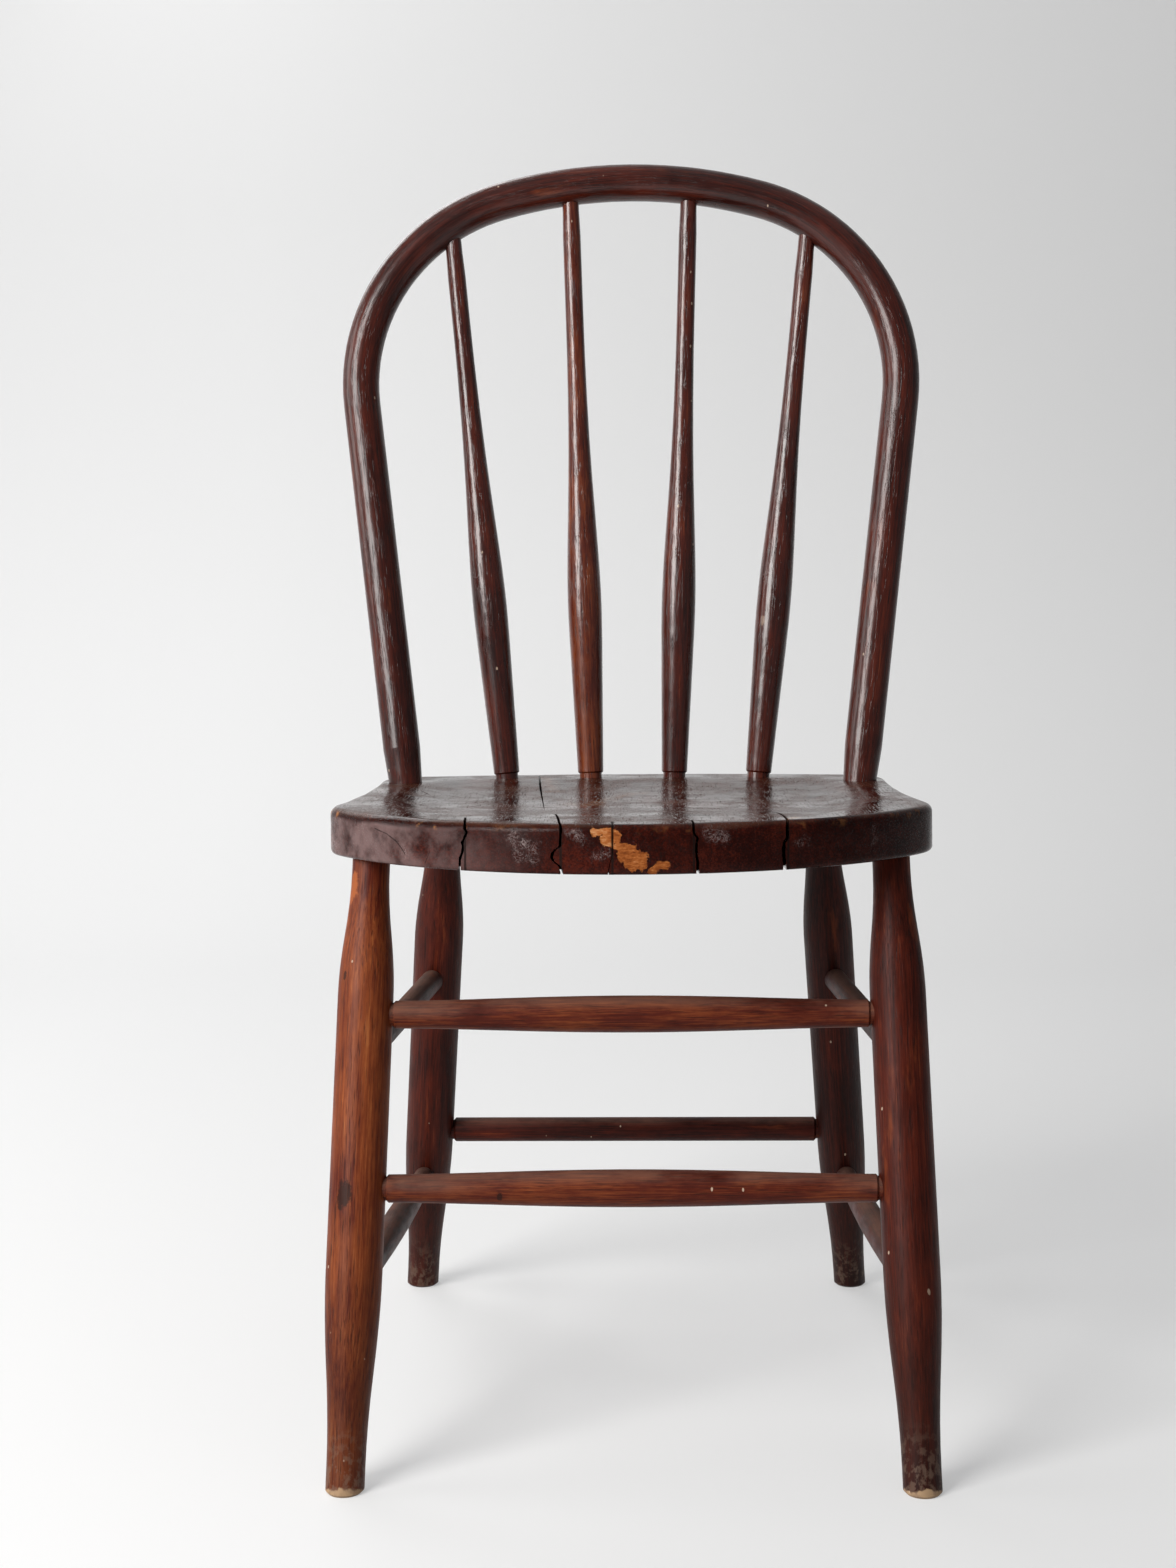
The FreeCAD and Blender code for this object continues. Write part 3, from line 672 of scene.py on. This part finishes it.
def skin(work, left, right):
    """Closes two matching grids of vertices into one thin solid."""
    for i in range(len(left) - 1):
        for j in range(len(left[0]) - 1):
            work.faces.new((left[i][j], left[i][j + 1], left[i + 1][j + 1], left[i + 1][j]))
            work.faces.new((right[i][j], right[i + 1][j], right[i + 1][j + 1], right[i][j + 1]))
    for i in range(len(left) - 1):
        work.faces.new((left[i][0], left[i + 1][0], right[i + 1][0], right[i][0]))
        work.faces.new((left[i][-1], right[i][-1], right[i + 1][-1], left[i + 1][-1]))
    for j in range(len(left[0]) - 1):
        work.faces.new((left[0][j], right[0][j], right[0][j + 1], left[0][j + 1]))
        work.faces.new((left[-1][j], left[-1][j + 1], right[-1][j + 1], right[-1][j]))


def split(work, path, width, deep, seed):
    """Shallow split in the seat's top along (x, depth) points, widest in its middle."""
    rng = random.Random(seed)
    left, right = [], []
    total = len(path) - 1
    steps = 6
    fine = []
    for k in range(total * steps + 1):
        a = min(k // steps, total - 1)
        share = k / steps - a
        fine.append(Vector(path[a]).lerp(Vector(path[a + 1]), share))
    for k, point in enumerate(fine):
        ahead = fine[min(k + 1, len(fine) - 1)] - fine[max(k - 1, 0)]
        side = Vector((ahead.y, -ahead.x)).normalized()
        taper = math.sin(math.pi * min(max(k / (len(fine) - 1), 0.04), 0.96)) ** 0.6
        half = width / 2 * taper * (0.8 + 0.4 * rng.random())
        rows = ([], [])
        for height, share in ((3.0, 1.0), (-3.0, 1.0), (-deep * taper - 3.0, 0.15)):
            for out, sign in ((rows[0], -1), (rows[1], 1)):
                spot = point + side * half * share * sign
                out.append(work.verts.new(on_seat(spot.x, spot.y, height)))
        left.append(rows[0])
        right.append(rows[1])
    skin(work, left, right)


def post_line(side):
    """Foot of a post of the bow on the seat's top and its direction, in the scene's frame."""
    foot = on_seat(0, POST_DEPTH) + Vector((side * POST_X * MM, 0, 0))
    upright = math.cos(POST_SPLAY)
    direction = Vector((
        side * math.sin(POST_SPLAY),
        upright * math.sin(BACK_RAKE),
        upright * math.cos(BACK_RAKE),
    ))
    return foot, direction


def post_hole(work, side):
    """Tapered hole for a post's through tenon, a hair wider than the tenon."""
    foot, direction = post_line(side)
    turn = direction.to_track_quat("Z", "Y")
    sides = 64
    rings = []
    for height, radius in ((-42.0, 11.22), (6.0, 13.12)):
        loop = []
        for k in range(sides):
            angle = 2 * math.pi * k / sides
            spot = Vector((radius * math.cos(angle), radius * math.sin(angle), height)) * MM
            loop.append(work.verts.new(foot + turn @ spot))
        rings.append(loop)
    work.faces.new(list(reversed(rings[0])))
    work.faces.new(rings[1])
    for k in range(sides):
        n = (k + 1) % sides
        work.faces.new((rings[0][k], rings[0][n], rings[1][n], rings[1][k]))


# Drying cracks in the front edge, in millimetres. face: (below the top, x); top: (behind the edge, x);
# reach: how far back each runs at the top and at the bottom
CRACKS = [
    dict(
        face=[(0, -105.5), (4.9, -105.6), (6.6, -104.0), (10.5, -105.9), (13.2, -107.4), (16.4, -106.9),
              (19.7, -107.3), (24.0, -109.0), (29.5, -109.3), (34, -109.6)],
        top=[(0, -105.5), (31, -107.5)],
        width=1.7,
        reach=(31, 24),
    ),
    dict(
        face=[(0, -43.4), (2.6, -43.0), (9.8, -43.5), (14.3, -43.6), (15.8, -46.5), (18.1, -48.5),
              (21.3, -49.1), (23.5, -47.9), (26.6, -43.9), (29.8, -42.8), (34, -42.4)],
        top=[(0, -43.4), (10.5, -44.5), (48.4, -46.8), (82.5, -49.8)],
        width=1.7,
        reach=(82, 30),
    ),
    dict(
        face=[(0, -10.6), (14.0, -10.3), (20.9, -11.1), (24.1, -12.2), (28.6, -13.1), (34, -13.4)],
        top=[(0, -10.6), (20, -10.8)],
        width=0.4,
        reach=(5, 14),
    ),
    dict(
        face=[(0, 40.9), (4.2, 40.7), (6.5, 41.1), (8.9, 43.4), (12.0, 42.6), (16.5, 42.4), (21.0, 42.6),
              (23.8, 43.3), (28.4, 43.1), (34, 43.6)],
        top=[(0, 40.9), (26, 39.8)],
        width=1.7,
        reach=(27, 20),
    ),
    dict(
        face=[(0, 101.4), (5.2, 100.7), (10.7, 101.0), (14.3, 98.8), (18.8, 98.4), (23.4, 98.6),
              (28.0, 99.1), (34, 99.3)],
        top=[(0, 101.4), (12.1, 101.4), (36.8, 100.5), (67.9, 98.4), (84.2, 95.9)],
        width=2.1,
        reach=(84, 28),
    ),
]

# Shallow splits in the top: (x, depth) points, width and depth of the cut
SPLITS = [
    ([(-78, 420), (-74, 395), (-70.5, 330), (-68, 292), (-63, 215), (-59, 146)], 1.7, 9.0),
    ([(-153, 207), (-146, 192), (-139, 178), (-133, 165)], 2.2, 3.0),
    ([(-158, 287), (-152, 274), (-147, 263)], 1.2, 2.0),
]


def seat_cutters():
    """(name, bmesh) of everything that is cut out of the plank."""
    cutters = []
    for k, crack in enumerate(CRACKS):
        work = bmesh.new()
        blade(work, crack["face"], crack["top"], crack["width"], crack["reach"], 20 + k)
        cutters.append((f"crack_{k}", work))
    for k, (path, width, deep) in enumerate(SPLITS):
        work = bmesh.new()
        split(work, path, width, deep, 40 + k)
        cutters.append((f"split_{k}", work))
    for side in (-1, 1):
        work = bmesh.new()
        post_hole(work, side)
        cutters.append((f"hole_{side}", work))
    return cutters


def make_seat():
    seat = bpy.data.objects.new("seat_worn", make_seat_mesh())
    scene.collection.objects.link(seat)
    tools = []
    for name, work in seat_cutters():
        bmesh.ops.recalc_face_normals(work, faces=work.faces)
        mesh = bpy.data.meshes.new(name)
        work.to_mesh(mesh)
        work.free()
        tool = bpy.data.objects.new(name, mesh)
        scene.collection.objects.link(tool)
        tools.append(tool)
        cut = seat.modifiers.new(name, "BOOLEAN")
        cut.operation = "DIFFERENCE"
        cut.solver = "EXACT"
        cut.object = tool
    bpy.context.view_layer.update()
    made = bpy.data.meshes.new_from_object(seat.evaluated_get(bpy.context.evaluated_depsgraph_get()))
    seat.modifiers.clear()
    seat.data = made
    for tool in tools:
        bpy.data.objects.remove(tool)
    for face in made.polygons:
        face.use_smooth = True
    made.set_sharp_from_angle(angle=math.radians(38))
    made.materials.clear()
    made.materials.append(seat_finish())
    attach(seat, "root")
    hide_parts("seat")


# Seat's finish

def capsule(graph, plane, start, end, radius):
    """Signed distance, in millimetres, to a thick line in the plane."""
    a, b = Vector((*start, 0)), Vector((*end, 0))
    span = b - a
    from_a = graph.vector("SUBTRACT", plane, tuple(a))
    share = graph.vector("DOT_PRODUCT", from_a, tuple(span / max(span.dot(span), 1e-6)), out="Value")
    share = graph.math("ADD", share, 0.0, clamp=True)
    node = graph.tree.nodes.new("ShaderNodeVectorMath")
    node.operation = "SCALE"
    node.inputs[0].default_value = tuple(span)
    graph.put(node.inputs["Scale"], share)
    off = graph.vector("SUBTRACT", from_a, node.outputs[0])
    return graph.math("SUBTRACT", graph.vector("LENGTH", off, out="Value"), radius)


def region(graph, plane, strokes, ragged, soft):
    """1 inside a patch drawn with thick strokes, its edge made ragged by a noise value."""
    distance = None
    for start, end, radius in strokes:
        each = capsule(graph, plane, start, end, radius)
        distance = each if distance is None else graph.math("MINIMUM", distance, each)
    distance = graph.math("ADD", distance, ragged)
    return graph.ramp(distance, soft, -soft)


class SeatPlaces:
    """Coordinates, in the seat's own millimetres, and noises that its finish is drawn with."""

    def __init__(self, graph):
        self.graph = graph
        self.point = graph.add("ShaderNodeTexCoord", "Object")
        own = graph.add("ShaderNodeMapping", settings={"vector_type": "TEXTURE"}, Vector=self.point,
                        Location=tuple(SEAT_FRONT * MM), Rotation=(-SEAT_PITCH, 0, 0), Scale=(MM, MM, MM))
        self.x, self.depth, self.height = graph.parts(own)
        self.plan = graph.joined(self.x, self.depth, 0.0)
        self.face = graph.joined(self.x, self.height, 0.0)
        _, normal_y, self.up = graph.parts(graph.add("ShaderNodeNewGeometry", "Normal"))
        self.on_top = graph.ramp(self.up, 0.45, 0.85)
        self.facing = graph.ramp(normal_y, -0.25, -0.6)
        self.fine = graph.noise(self.point, 700, 5, 0.7)
        self.wide = graph.noise(self.point, 26, 4, 0.6)
        self.ragged = graph.math("MULTIPLY_ADD", graph.noise(self.point, 150, 5, 0.65), 14.0, -7.0)

    def patch(self, plane, strokes, ragged, soft):
        """1 inside a patch drawn with thick strokes; ragged is the share of the noise at its edge."""
        return region(self.graph, plane, strokes, self.graph.math("MULTIPLY", self.ragged, ragged), soft)

    def grain_point(self):
        """Coordinates in metres with z along the grain, which runs front to back."""
        scaled = [self.graph.math("MULTIPLY", value, MM) for value in (self.x, self.height, self.depth)]
        return self.graph.vector("ADD", self.graph.joined(*scaled), (0.9, 0.4, 1.3))


def worn_varnish_and_painted_reflection(graph, at, colour):
    """Greyer blotches on the top, a painted reflection of the window on the left of the front, and rubbed
    edges.
    """
    blotches = graph.math("MULTIPLY", at.on_top, graph.ramp(at.wide, 0.34, 0.66))
    colour = graph.mix(graph.math("MULTIPLY", blotches, 0.40), colour, (*srgb(96, 62, 46), 1))

    # painted reflection: the window's greyish glare on the left of the front face, painted into the colour
    painted_window_reflection = graph.math("MULTIPLY", graph.ramp(at.x, -40.0, -190.0), graph.ramp(at.up, 0.5, 0.1))
    painted_window_reflection = graph.math("MULTIPLY", painted_window_reflection, graph.ramp(graph.noise(at.point, 40, 4, 0.6), 0.3, 0.6))
    colour = graph.mix(graph.math("MULTIPLY", painted_window_reflection, 0.66), colour, (*srgb(134, 110, 108), 1))

    edge = graph.math("MULTIPLY", graph.ramp(at.height, -8.5, -3.5), graph.ramp(at.up, 0.93, 0.6))
    edge = graph.math("MULTIPLY", edge, graph.ramp(graph.noise(at.point, 110, 5, 0.62), 0.52, 0.66))
    to_left = graph.math("MULTIPLY_ADD", graph.ramp(at.x, -60.0, -175.0), 0.60, 0.20)
    edge = graph.math("MULTIPLY", edge, to_left)
    edge = graph.math("MULTIPLY", edge, graph.ramp(graph.noise(at.point, 31, 3, 0.6), 0.46, 0.58))
    colour = graph.mix(edge, colour, (*srgb(170, 112, 66), 1))

    corner = at.patch(at.plan, [((-203, 92), (-196, 74), 6.0)], 0.7, 0.8)
    corner = graph.math("MULTIPLY", corner, graph.ramp(at.height, -9.0, -6.0))
    return graph.mix(corner, colour, (*srgb(196, 138, 82), 1))


# Strokes on the front face: start and end as (x, height), and half width, in millimetres
TORN_MAIN = [
    ((-21.5, -4.2), (-12.0, -5.4), 2.4),
    ((-14.0, -9.0), (-9.0, -8.5), 4.6),
    ((-9.0, -13.5), (1.5, -15.0), 3.0),
    ((-4.0, -18.0), (7.5, -21.0), 4.6),
    ((2.0, -25.5), (8.0, -25.0), 4.0),
]
TORN_SMALL = [
    ((14.0, -30.0), (19.0, -25.5), 2.6),
    ((18.5, -26.0), (24.0, -25.6), 2.5),
]


def torn_wood(graph, at, colour):
    """(colour, share) with the bare torn wood in the middle of the front face."""
    torn = graph.math("MAXIMUM", at.patch(at.face, TORN_MAIN, 0.75, 0.35),
                      at.patch(at.face, TORN_SMALL, 0.40, 0.35))
    bare = graph.math("MULTIPLY", torn, at.facing)
    fibres = graph.noise(graph.scaled(at.point, 260, 260, 900), 1, 4, 0.7)
    patchy = graph.math("MULTIPLY", graph.noise(at.point, 170, 3), 0.4)
    tone = graph.math("MULTIPLY_ADD", fibres, 0.9, patchy)
    tone = graph.math("ADD", tone, graph.math("MULTIPLY", graph.ramp(at.x, 2.0, -24.0), 0.16))
    bare_colour = graph.colours(
        tone,
        (0.42, srgb(80, 38, 16)),
        (0.58, srgb(132, 68, 28)),
        (0.76, srgb(168, 98, 48)),
        (1.00, srgb(204, 156, 110)),
    )
    return graph.mix(bare, colour, bare_colour), bare


# Strokes on the top: start and end as (x, depth), and half width
PALE_CHIP = [
    ((103.5, 38.0), (107.5, 48.0), 2.6),
    ((105, 42), (110, 46), 1.4),
]
TAN_WEAR = [
    ((-42, 224), (-24, 207), 7.0),
    ((-30, 212), (-19, 250), 6.0),
    ((-19, 256), (6, 290), 4.0),
    ((-66, 372), (-60, 300), 2.5),
]
KNOTS = [
    ((39.5, 68), (49.5, 66), 5.5),
    ((130, 255), (143, 283), 4.5),
    ((-139, 336), (-133, 356), 3.0),
]


def top_marks(graph, at, colour):
    """A pale chip beside the right-hand crack, tan wear and knots."""
    pale = at.patch(at.plan, PALE_CHIP, 0.35, 0.4)
    colour = graph.mix(graph.math("MULTIPLY", pale, 0.75), colour, (*srgb(168, 128, 98), 1))
    tan = at.patch(at.plan, TAN_WEAR, 1.8, 5.0)
    tan = graph.math("MULTIPLY", tan, graph.ramp(graph.noise(at.point, 120, 4, 0.65), 0.36, 0.56))
    colour = graph.mix(graph.math("MULTIPLY", tan, 0.55), colour, (*srgb(140, 98, 66), 1))
    knots = graph.math("MULTIPLY", at.patch(at.plan, KNOTS, 0.5, 1.2), at.on_top)
    return graph.mix(graph.math("MULTIPLY", knots, 0.85), colour, (*srgb(44, 32, 27), 1))


# Strokes on the front face
SCUFFS = [
    ((-73, -9), (-62, -16), 4.0),
    ((-70, -19), (-62, -22), 3.0),
    ((-36, -5), (-30, -9), 2.5),
    ((-147, -20), (-146, -26), 1.4),
    ((50, -6), (60, -9), 3.0),
    ((108, -15), (114, -14), 1.6),
    ((160.1, -8), (160.3, -19), 0.5),
    ((-20, -20), (-14, -18), 2.5),
]
SCRATCHES = [
    ((-168.7, -9.0), (-160.2, -11.5), 0.35),
    ((-160.2, -11.5), (-153.0, -16.0), 0.35),
    ((-153.0, -16.0), (-149.1, -20.4), 0.3),
    ((-149.1, -20.4), (-147.0, -23.9), 0.3),
    ((-129.4, -20.4), (-132.9, -28.5), 0.2),
]


def face_marks(graph, at, colour):
    """Whitish scuffs on the front face and the dark scratches at its left."""
    scribble = graph.noise(at.point, 170, 3, 0.6, 1.6)
    scribble = graph.ramp(graph.math("ABSOLUTE", graph.math("SUBTRACT", scribble, 0.5)), 0.024, 0.006)
    smear = graph.math("MAXIMUM", scribble, graph.math("MULTIPLY", graph.ramp(at.fine, 0.46, 0.70), 0.6))
    scuffs = graph.math("MULTIPLY", at.patch(at.face, SCUFFS, 1.0, 3.0), at.facing)
    scuffs = graph.math("MULTIPLY", scuffs, smear)
    colour = graph.mix(graph.math("MULTIPLY", scuffs, 0.5), colour, (*srgb(168, 152, 150), 1))
    scratches = graph.math("MULTIPLY", at.patch(at.face, SCRATCHES, 0.05, 0.3), at.facing)
    return graph.mix(graph.math("MULTIPLY", scratches, 0.8), colour, (*srgb(22, 10, 8), 1))


def crack_grime_and_shade(at):
    """Share of grime and painted shade along the cracks that run more than 15 mm back over the top."""
    seams = []
    for crack in CRACKS:
        line = [(x, front_depth(x) + back) for back, x in crack["top"]]
        if line[-1][1] - line[0][1] > 15:
            seams += [(a, b, 0.8) for a, b in zip(line, line[1:])]
    return at.patch(at.plan, seams, 0.07, 0.35)


def seat_finish():
    graph = Graph("seat_finish")
    at = SeatPlaces(graph)
    colour, relief, _ = wood_layers(graph, at.grain_point(), 0.22)
    colour = worn_varnish_and_painted_reflection(graph, at, colour)
    colour, bare = torn_wood(graph, at, colour)
    colour = top_marks(graph, at, colour)
    colour = face_marks(graph, at, colour)
    grime_and_shade = crack_grime_and_shade(at)
    # painted shade with grime: darkening along the cracks on the top stands in for the shade inside them
    colour = graph.mix(graph.math("MULTIPLY", grime_and_shade, 0.85), colour, (*srgb(20, 9, 6), 1))
    fleck = specks(graph, at.point, 62, 0.0012, 0.07)
    colour = graph.mix(graph.math("MULTIPLY", fleck, 0.8), colour, (*srgb(198, 166, 130), 1))

    rough = graph.math("MULTIPLY_ADD", graph.ramp(at.wide, 0.34, 0.66), 0.20, 0.05)
    rough = graph.math("MULTIPLY_ADD", graph.noise(at.point, 300, 3), 0.12, rough)
    rough = graph.math("ADD", rough, graph.math("MULTIPLY", bare, 0.35))
    rough = graph.math("ADD", rough, graph.math("MULTIPLY", grime_and_shade, 0.40))
    rough = graph.math("MULTIPLY_ADD", relief, -0.14, rough)
    normal = graph.bump(graph.noise(at.point, 70, 3, 0.5), 0.0004)
    normal = graph.bump(relief, 0.00022, normal)
    normal = graph.bump(graph.math("SUBTRACT", 1.0, bare), 0.0009, normal)
    graph.put(graph.shader.inputs["Base Color"], colour)
    graph.put(graph.shader.inputs["Roughness"], rough)
    graph.put(graph.shader.inputs["Normal"], normal)
    graph.shader.inputs["Specular IOR Level"].default_value = 0.09
    return graph.material


# Bow: the CAD's rod with coordinates along its bend for the grain

# The bow's bends as in the CAD, in millimetres; a rise is measured in its plane from the seat's top
BOW_APEX = 472.0
TOP_RADIUS = 371.5
SHOULDER_RADIUS = 150.0
TOP_RISE = BOW_APEX - TOP_RADIUS


def bow_shoulder():
    """Centre (x, rise) of the right shoulder arc, tangent to the post and the top arc."""
    start_x = POST_X - SHOULDER_RADIUS * math.cos(POST_SPLAY)
    start_rise = SHOULDER_RADIUS * math.sin(POST_SPLAY) - TOP_RISE
    along = start_x * math.sin(POST_SPLAY) + start_rise * math.cos(POST_SPLAY)
    room = start_x ** 2 + start_rise ** 2 - (TOP_RADIUS - SHOULDER_RADIUS) ** 2
    travel = math.sqrt(along ** 2 - room) - along
    return start_x + travel * math.sin(POST_SPLAY), TOP_RISE + start_rise + travel * math.cos(POST_SPLAY)


def bow_place(x, rise, shoulder_x, shoulder_rise):
    """(distance along the rod from its top, distance out from its centre line) on the right half."""
    joint = math.atan2(shoulder_rise - TOP_RISE, shoulder_x)
    angle = math.atan2(rise - TOP_RISE, x)
    if angle >= joint:
        return (math.pi / 2 - angle) * TOP_RADIUS, math.hypot(x, rise - TOP_RISE) - TOP_RADIUS
    start = (math.pi / 2 - joint) * TOP_RADIUS
    step_x, step_rise = x - shoulder_x, rise - shoulder_rise
    turn = math.atan2(step_rise, step_x)
    if turn >= -POST_SPLAY:
        return start + (joint - turn) * SHOULDER_RADIUS, math.hypot(step_x, step_rise) - SHOULDER_RADIUS
    start += (joint + POST_SPLAY) * SHOULDER_RADIUS
    step_x -= SHOULDER_RADIUS * math.cos(POST_SPLAY)
    step_rise += SHOULDER_RADIUS * math.sin(POST_SPLAY)
    down = -(step_x * math.sin(POST_SPLAY) + step_rise * math.cos(POST_SPLAY))
    return start + down, step_x * math.cos(POST_SPLAY) - step_rise * math.sin(POST_SPLAY)


def make_bow():
    mesh = nodes["bow"].data.copy()
    mesh.name = "bow_bent"
    bow = bpy.data.objects.new("bow_bent", mesh)
    scene.collection.objects.link(bow)
    base = on_seat(0, POST_DEPTH)
    in_plane = Vector((0, math.sin(BACK_RAKE), math.cos(BACK_RAKE)))
    across = Vector((0, math.cos(BACK_RAKE), -math.sin(BACK_RAKE)))
    shoulder_x, shoulder_rise = bow_shoulder()
    values = []
    for vertex in mesh.vertices:
        step = (vertex.co - base) / MM
        side = 1 if step.x >= 0 else -1
        along, away = bow_place(abs(step.x), step.dot(in_plane), shoulder_x, shoulder_rise)
        values += [away * MM, step.dot(across) * MM, side * along * MM]
    grain = mesh.attributes.new("grain", "FLOAT_VECTOR", "POINT")
    grain.data.foreach_set("vector", values)
    mesh.materials.clear()
    mesh.materials.append(turned_wood("bow_finish", None, None, 3, 0.38, 0.33, dusty=0.10, coat=0.5))
    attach(bow, "root")
    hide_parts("bow")


# Turned pieces keep their CAD shape and get their finish

def axis_of(node):
    """Middle and direction of a turned piece: the line that its points lie closest to."""
    points = [v.co for v in nodes[node].data.vertices]
    middle = sum(points, Vector()) / len(points)
    direction = max((p - middle for p in points), key=lambda v: v.length)
    for _ in range(30):
        total = Vector()
        for p in points:
            offset = p - middle
            total += offset * offset.dot(direction)
        direction = total.normalized()
    return middle, direction


def finish_node(node, seed, light, gloss, **extras):
    middle, direction = axis_of(node)
    material = turned_wood(node + "_finish", middle, direction, seed, light, gloss, **extras)
    mesh = nodes[node].data
    mesh.materials.clear()
    mesh.materials.append(material)


# Marks in the photograph: place in metres, radius, colour and strength
DARK_SPOT = srgb(34, 15, 9)
PALE_SPOT = srgb(196, 172, 150)
BARE_SPOT = srgb(168, 92, 48)
MARKS = {
    "leg_front_left": [
        ((-0.1885, -0.1815, 0.1855), 0.0060, DARK_SPOT, 0.85),
        ((-0.1909, -0.1369, 0.3242), 0.0018, DARK_SPOT, 0.8),
        ((-0.1885, -0.1150, 0.3800), 0.0065, BARE_SPOT, 0.7),
    ],
    "leg_front_right": [
        ((0.1922, -0.1982, 0.1263), 0.0011, PALE_SPOT, 0.5),
    ],
    "stretcher_front_upper": [
        ((0.0613, -0.1425, 0.3085), 0.0008, PALE_SPOT, 0.9),
        ((-0.0855, -0.1425, 0.2905), 0.0008, PALE_SPOT, 0.8),
    ],
    "stretcher_front_lower": [
        ((0.0525, -0.1751, 0.1882), 0.0008, PALE_SPOT, 0.9),
        ((0.0730, -0.1751, 0.1880), 0.0008, PALE_SPOT, 0.9),
        ((-0.0867, -0.1743, 0.1828), 0.0022, DARK_SPOT, 0.8),
    ],
    "spindle_right_outer": [
        ((0.1024, 0.1661, 0.5464), 0.0022, PALE_SPOT, 0.35),
    ],
}

# Each piece's noise seed and how light its wood is
LEGS = [
    ("leg_front_left", 11, 0.80, dict(gloss=0.44, foot=0.0068)),
    ("leg_front_right", 12, 0.44, dict(gloss=0.44, foot=0.0062)),
    ("leg_back_left", 13, 0.42, dict(gloss=0.46, foot=0.001)),
    ("leg_back_right", 14, 0.24, dict(gloss=0.46, foot=0.001)),
]
STRETCHERS = [
    ("stretcher_front_upper", 21, 0.62, dict(gloss=0.46, dusty=1.0, dull_ends=0.165)),
    ("stretcher_front_lower", 22, 0.62, dict(gloss=0.46, dusty=1.0, dull_ends=0.165)),
    ("stretcher_back", 23, 0.34, dict(gloss=0.48, dusty=0.8)),
    ("stretcher_left_upper", 24, 0.30, dict(gloss=0.48, dusty=1.2)),
    ("stretcher_left_lower", 25, 0.34, dict(gloss=0.48, dusty=1.2)),
    ("stretcher_right_upper", 26, 0.30, dict(gloss=0.48, dusty=1.2)),
    ("stretcher_right_lower", 27, 0.34, dict(gloss=0.48, dusty=1.2)),
]
VARNISHED = dict(gloss=0.30, dusty=0.0, coat=0.8)
SPINDLES = [
    ("spindle_left_outer", 31, 0.40, VARNISHED),
    ("spindle_left_inner", 32, 0.66, VARNISHED),
    ("spindle_right_inner", 33, 0.50, VARNISHED),
    ("spindle_right_outer", 34, 0.46, VARNISHED),
]
WEDGES = [
    ("bow_wedge_left", 41, 0.70, dict(gloss=0.60, dusty=0.0)),
    ("bow_wedge_right", 42, 0.70, dict(gloss=0.60, dusty=0.0)),
]


def finish_turnings():
    for node, seed, light, look in LEGS + STRETCHERS + SPINDLES + WEDGES:
        finish_node(node, seed, light, marks=MARKS.get(node, ()), **look)


make_camera()
make_studio()
make_seat()
make_bow()
finish_turnings()
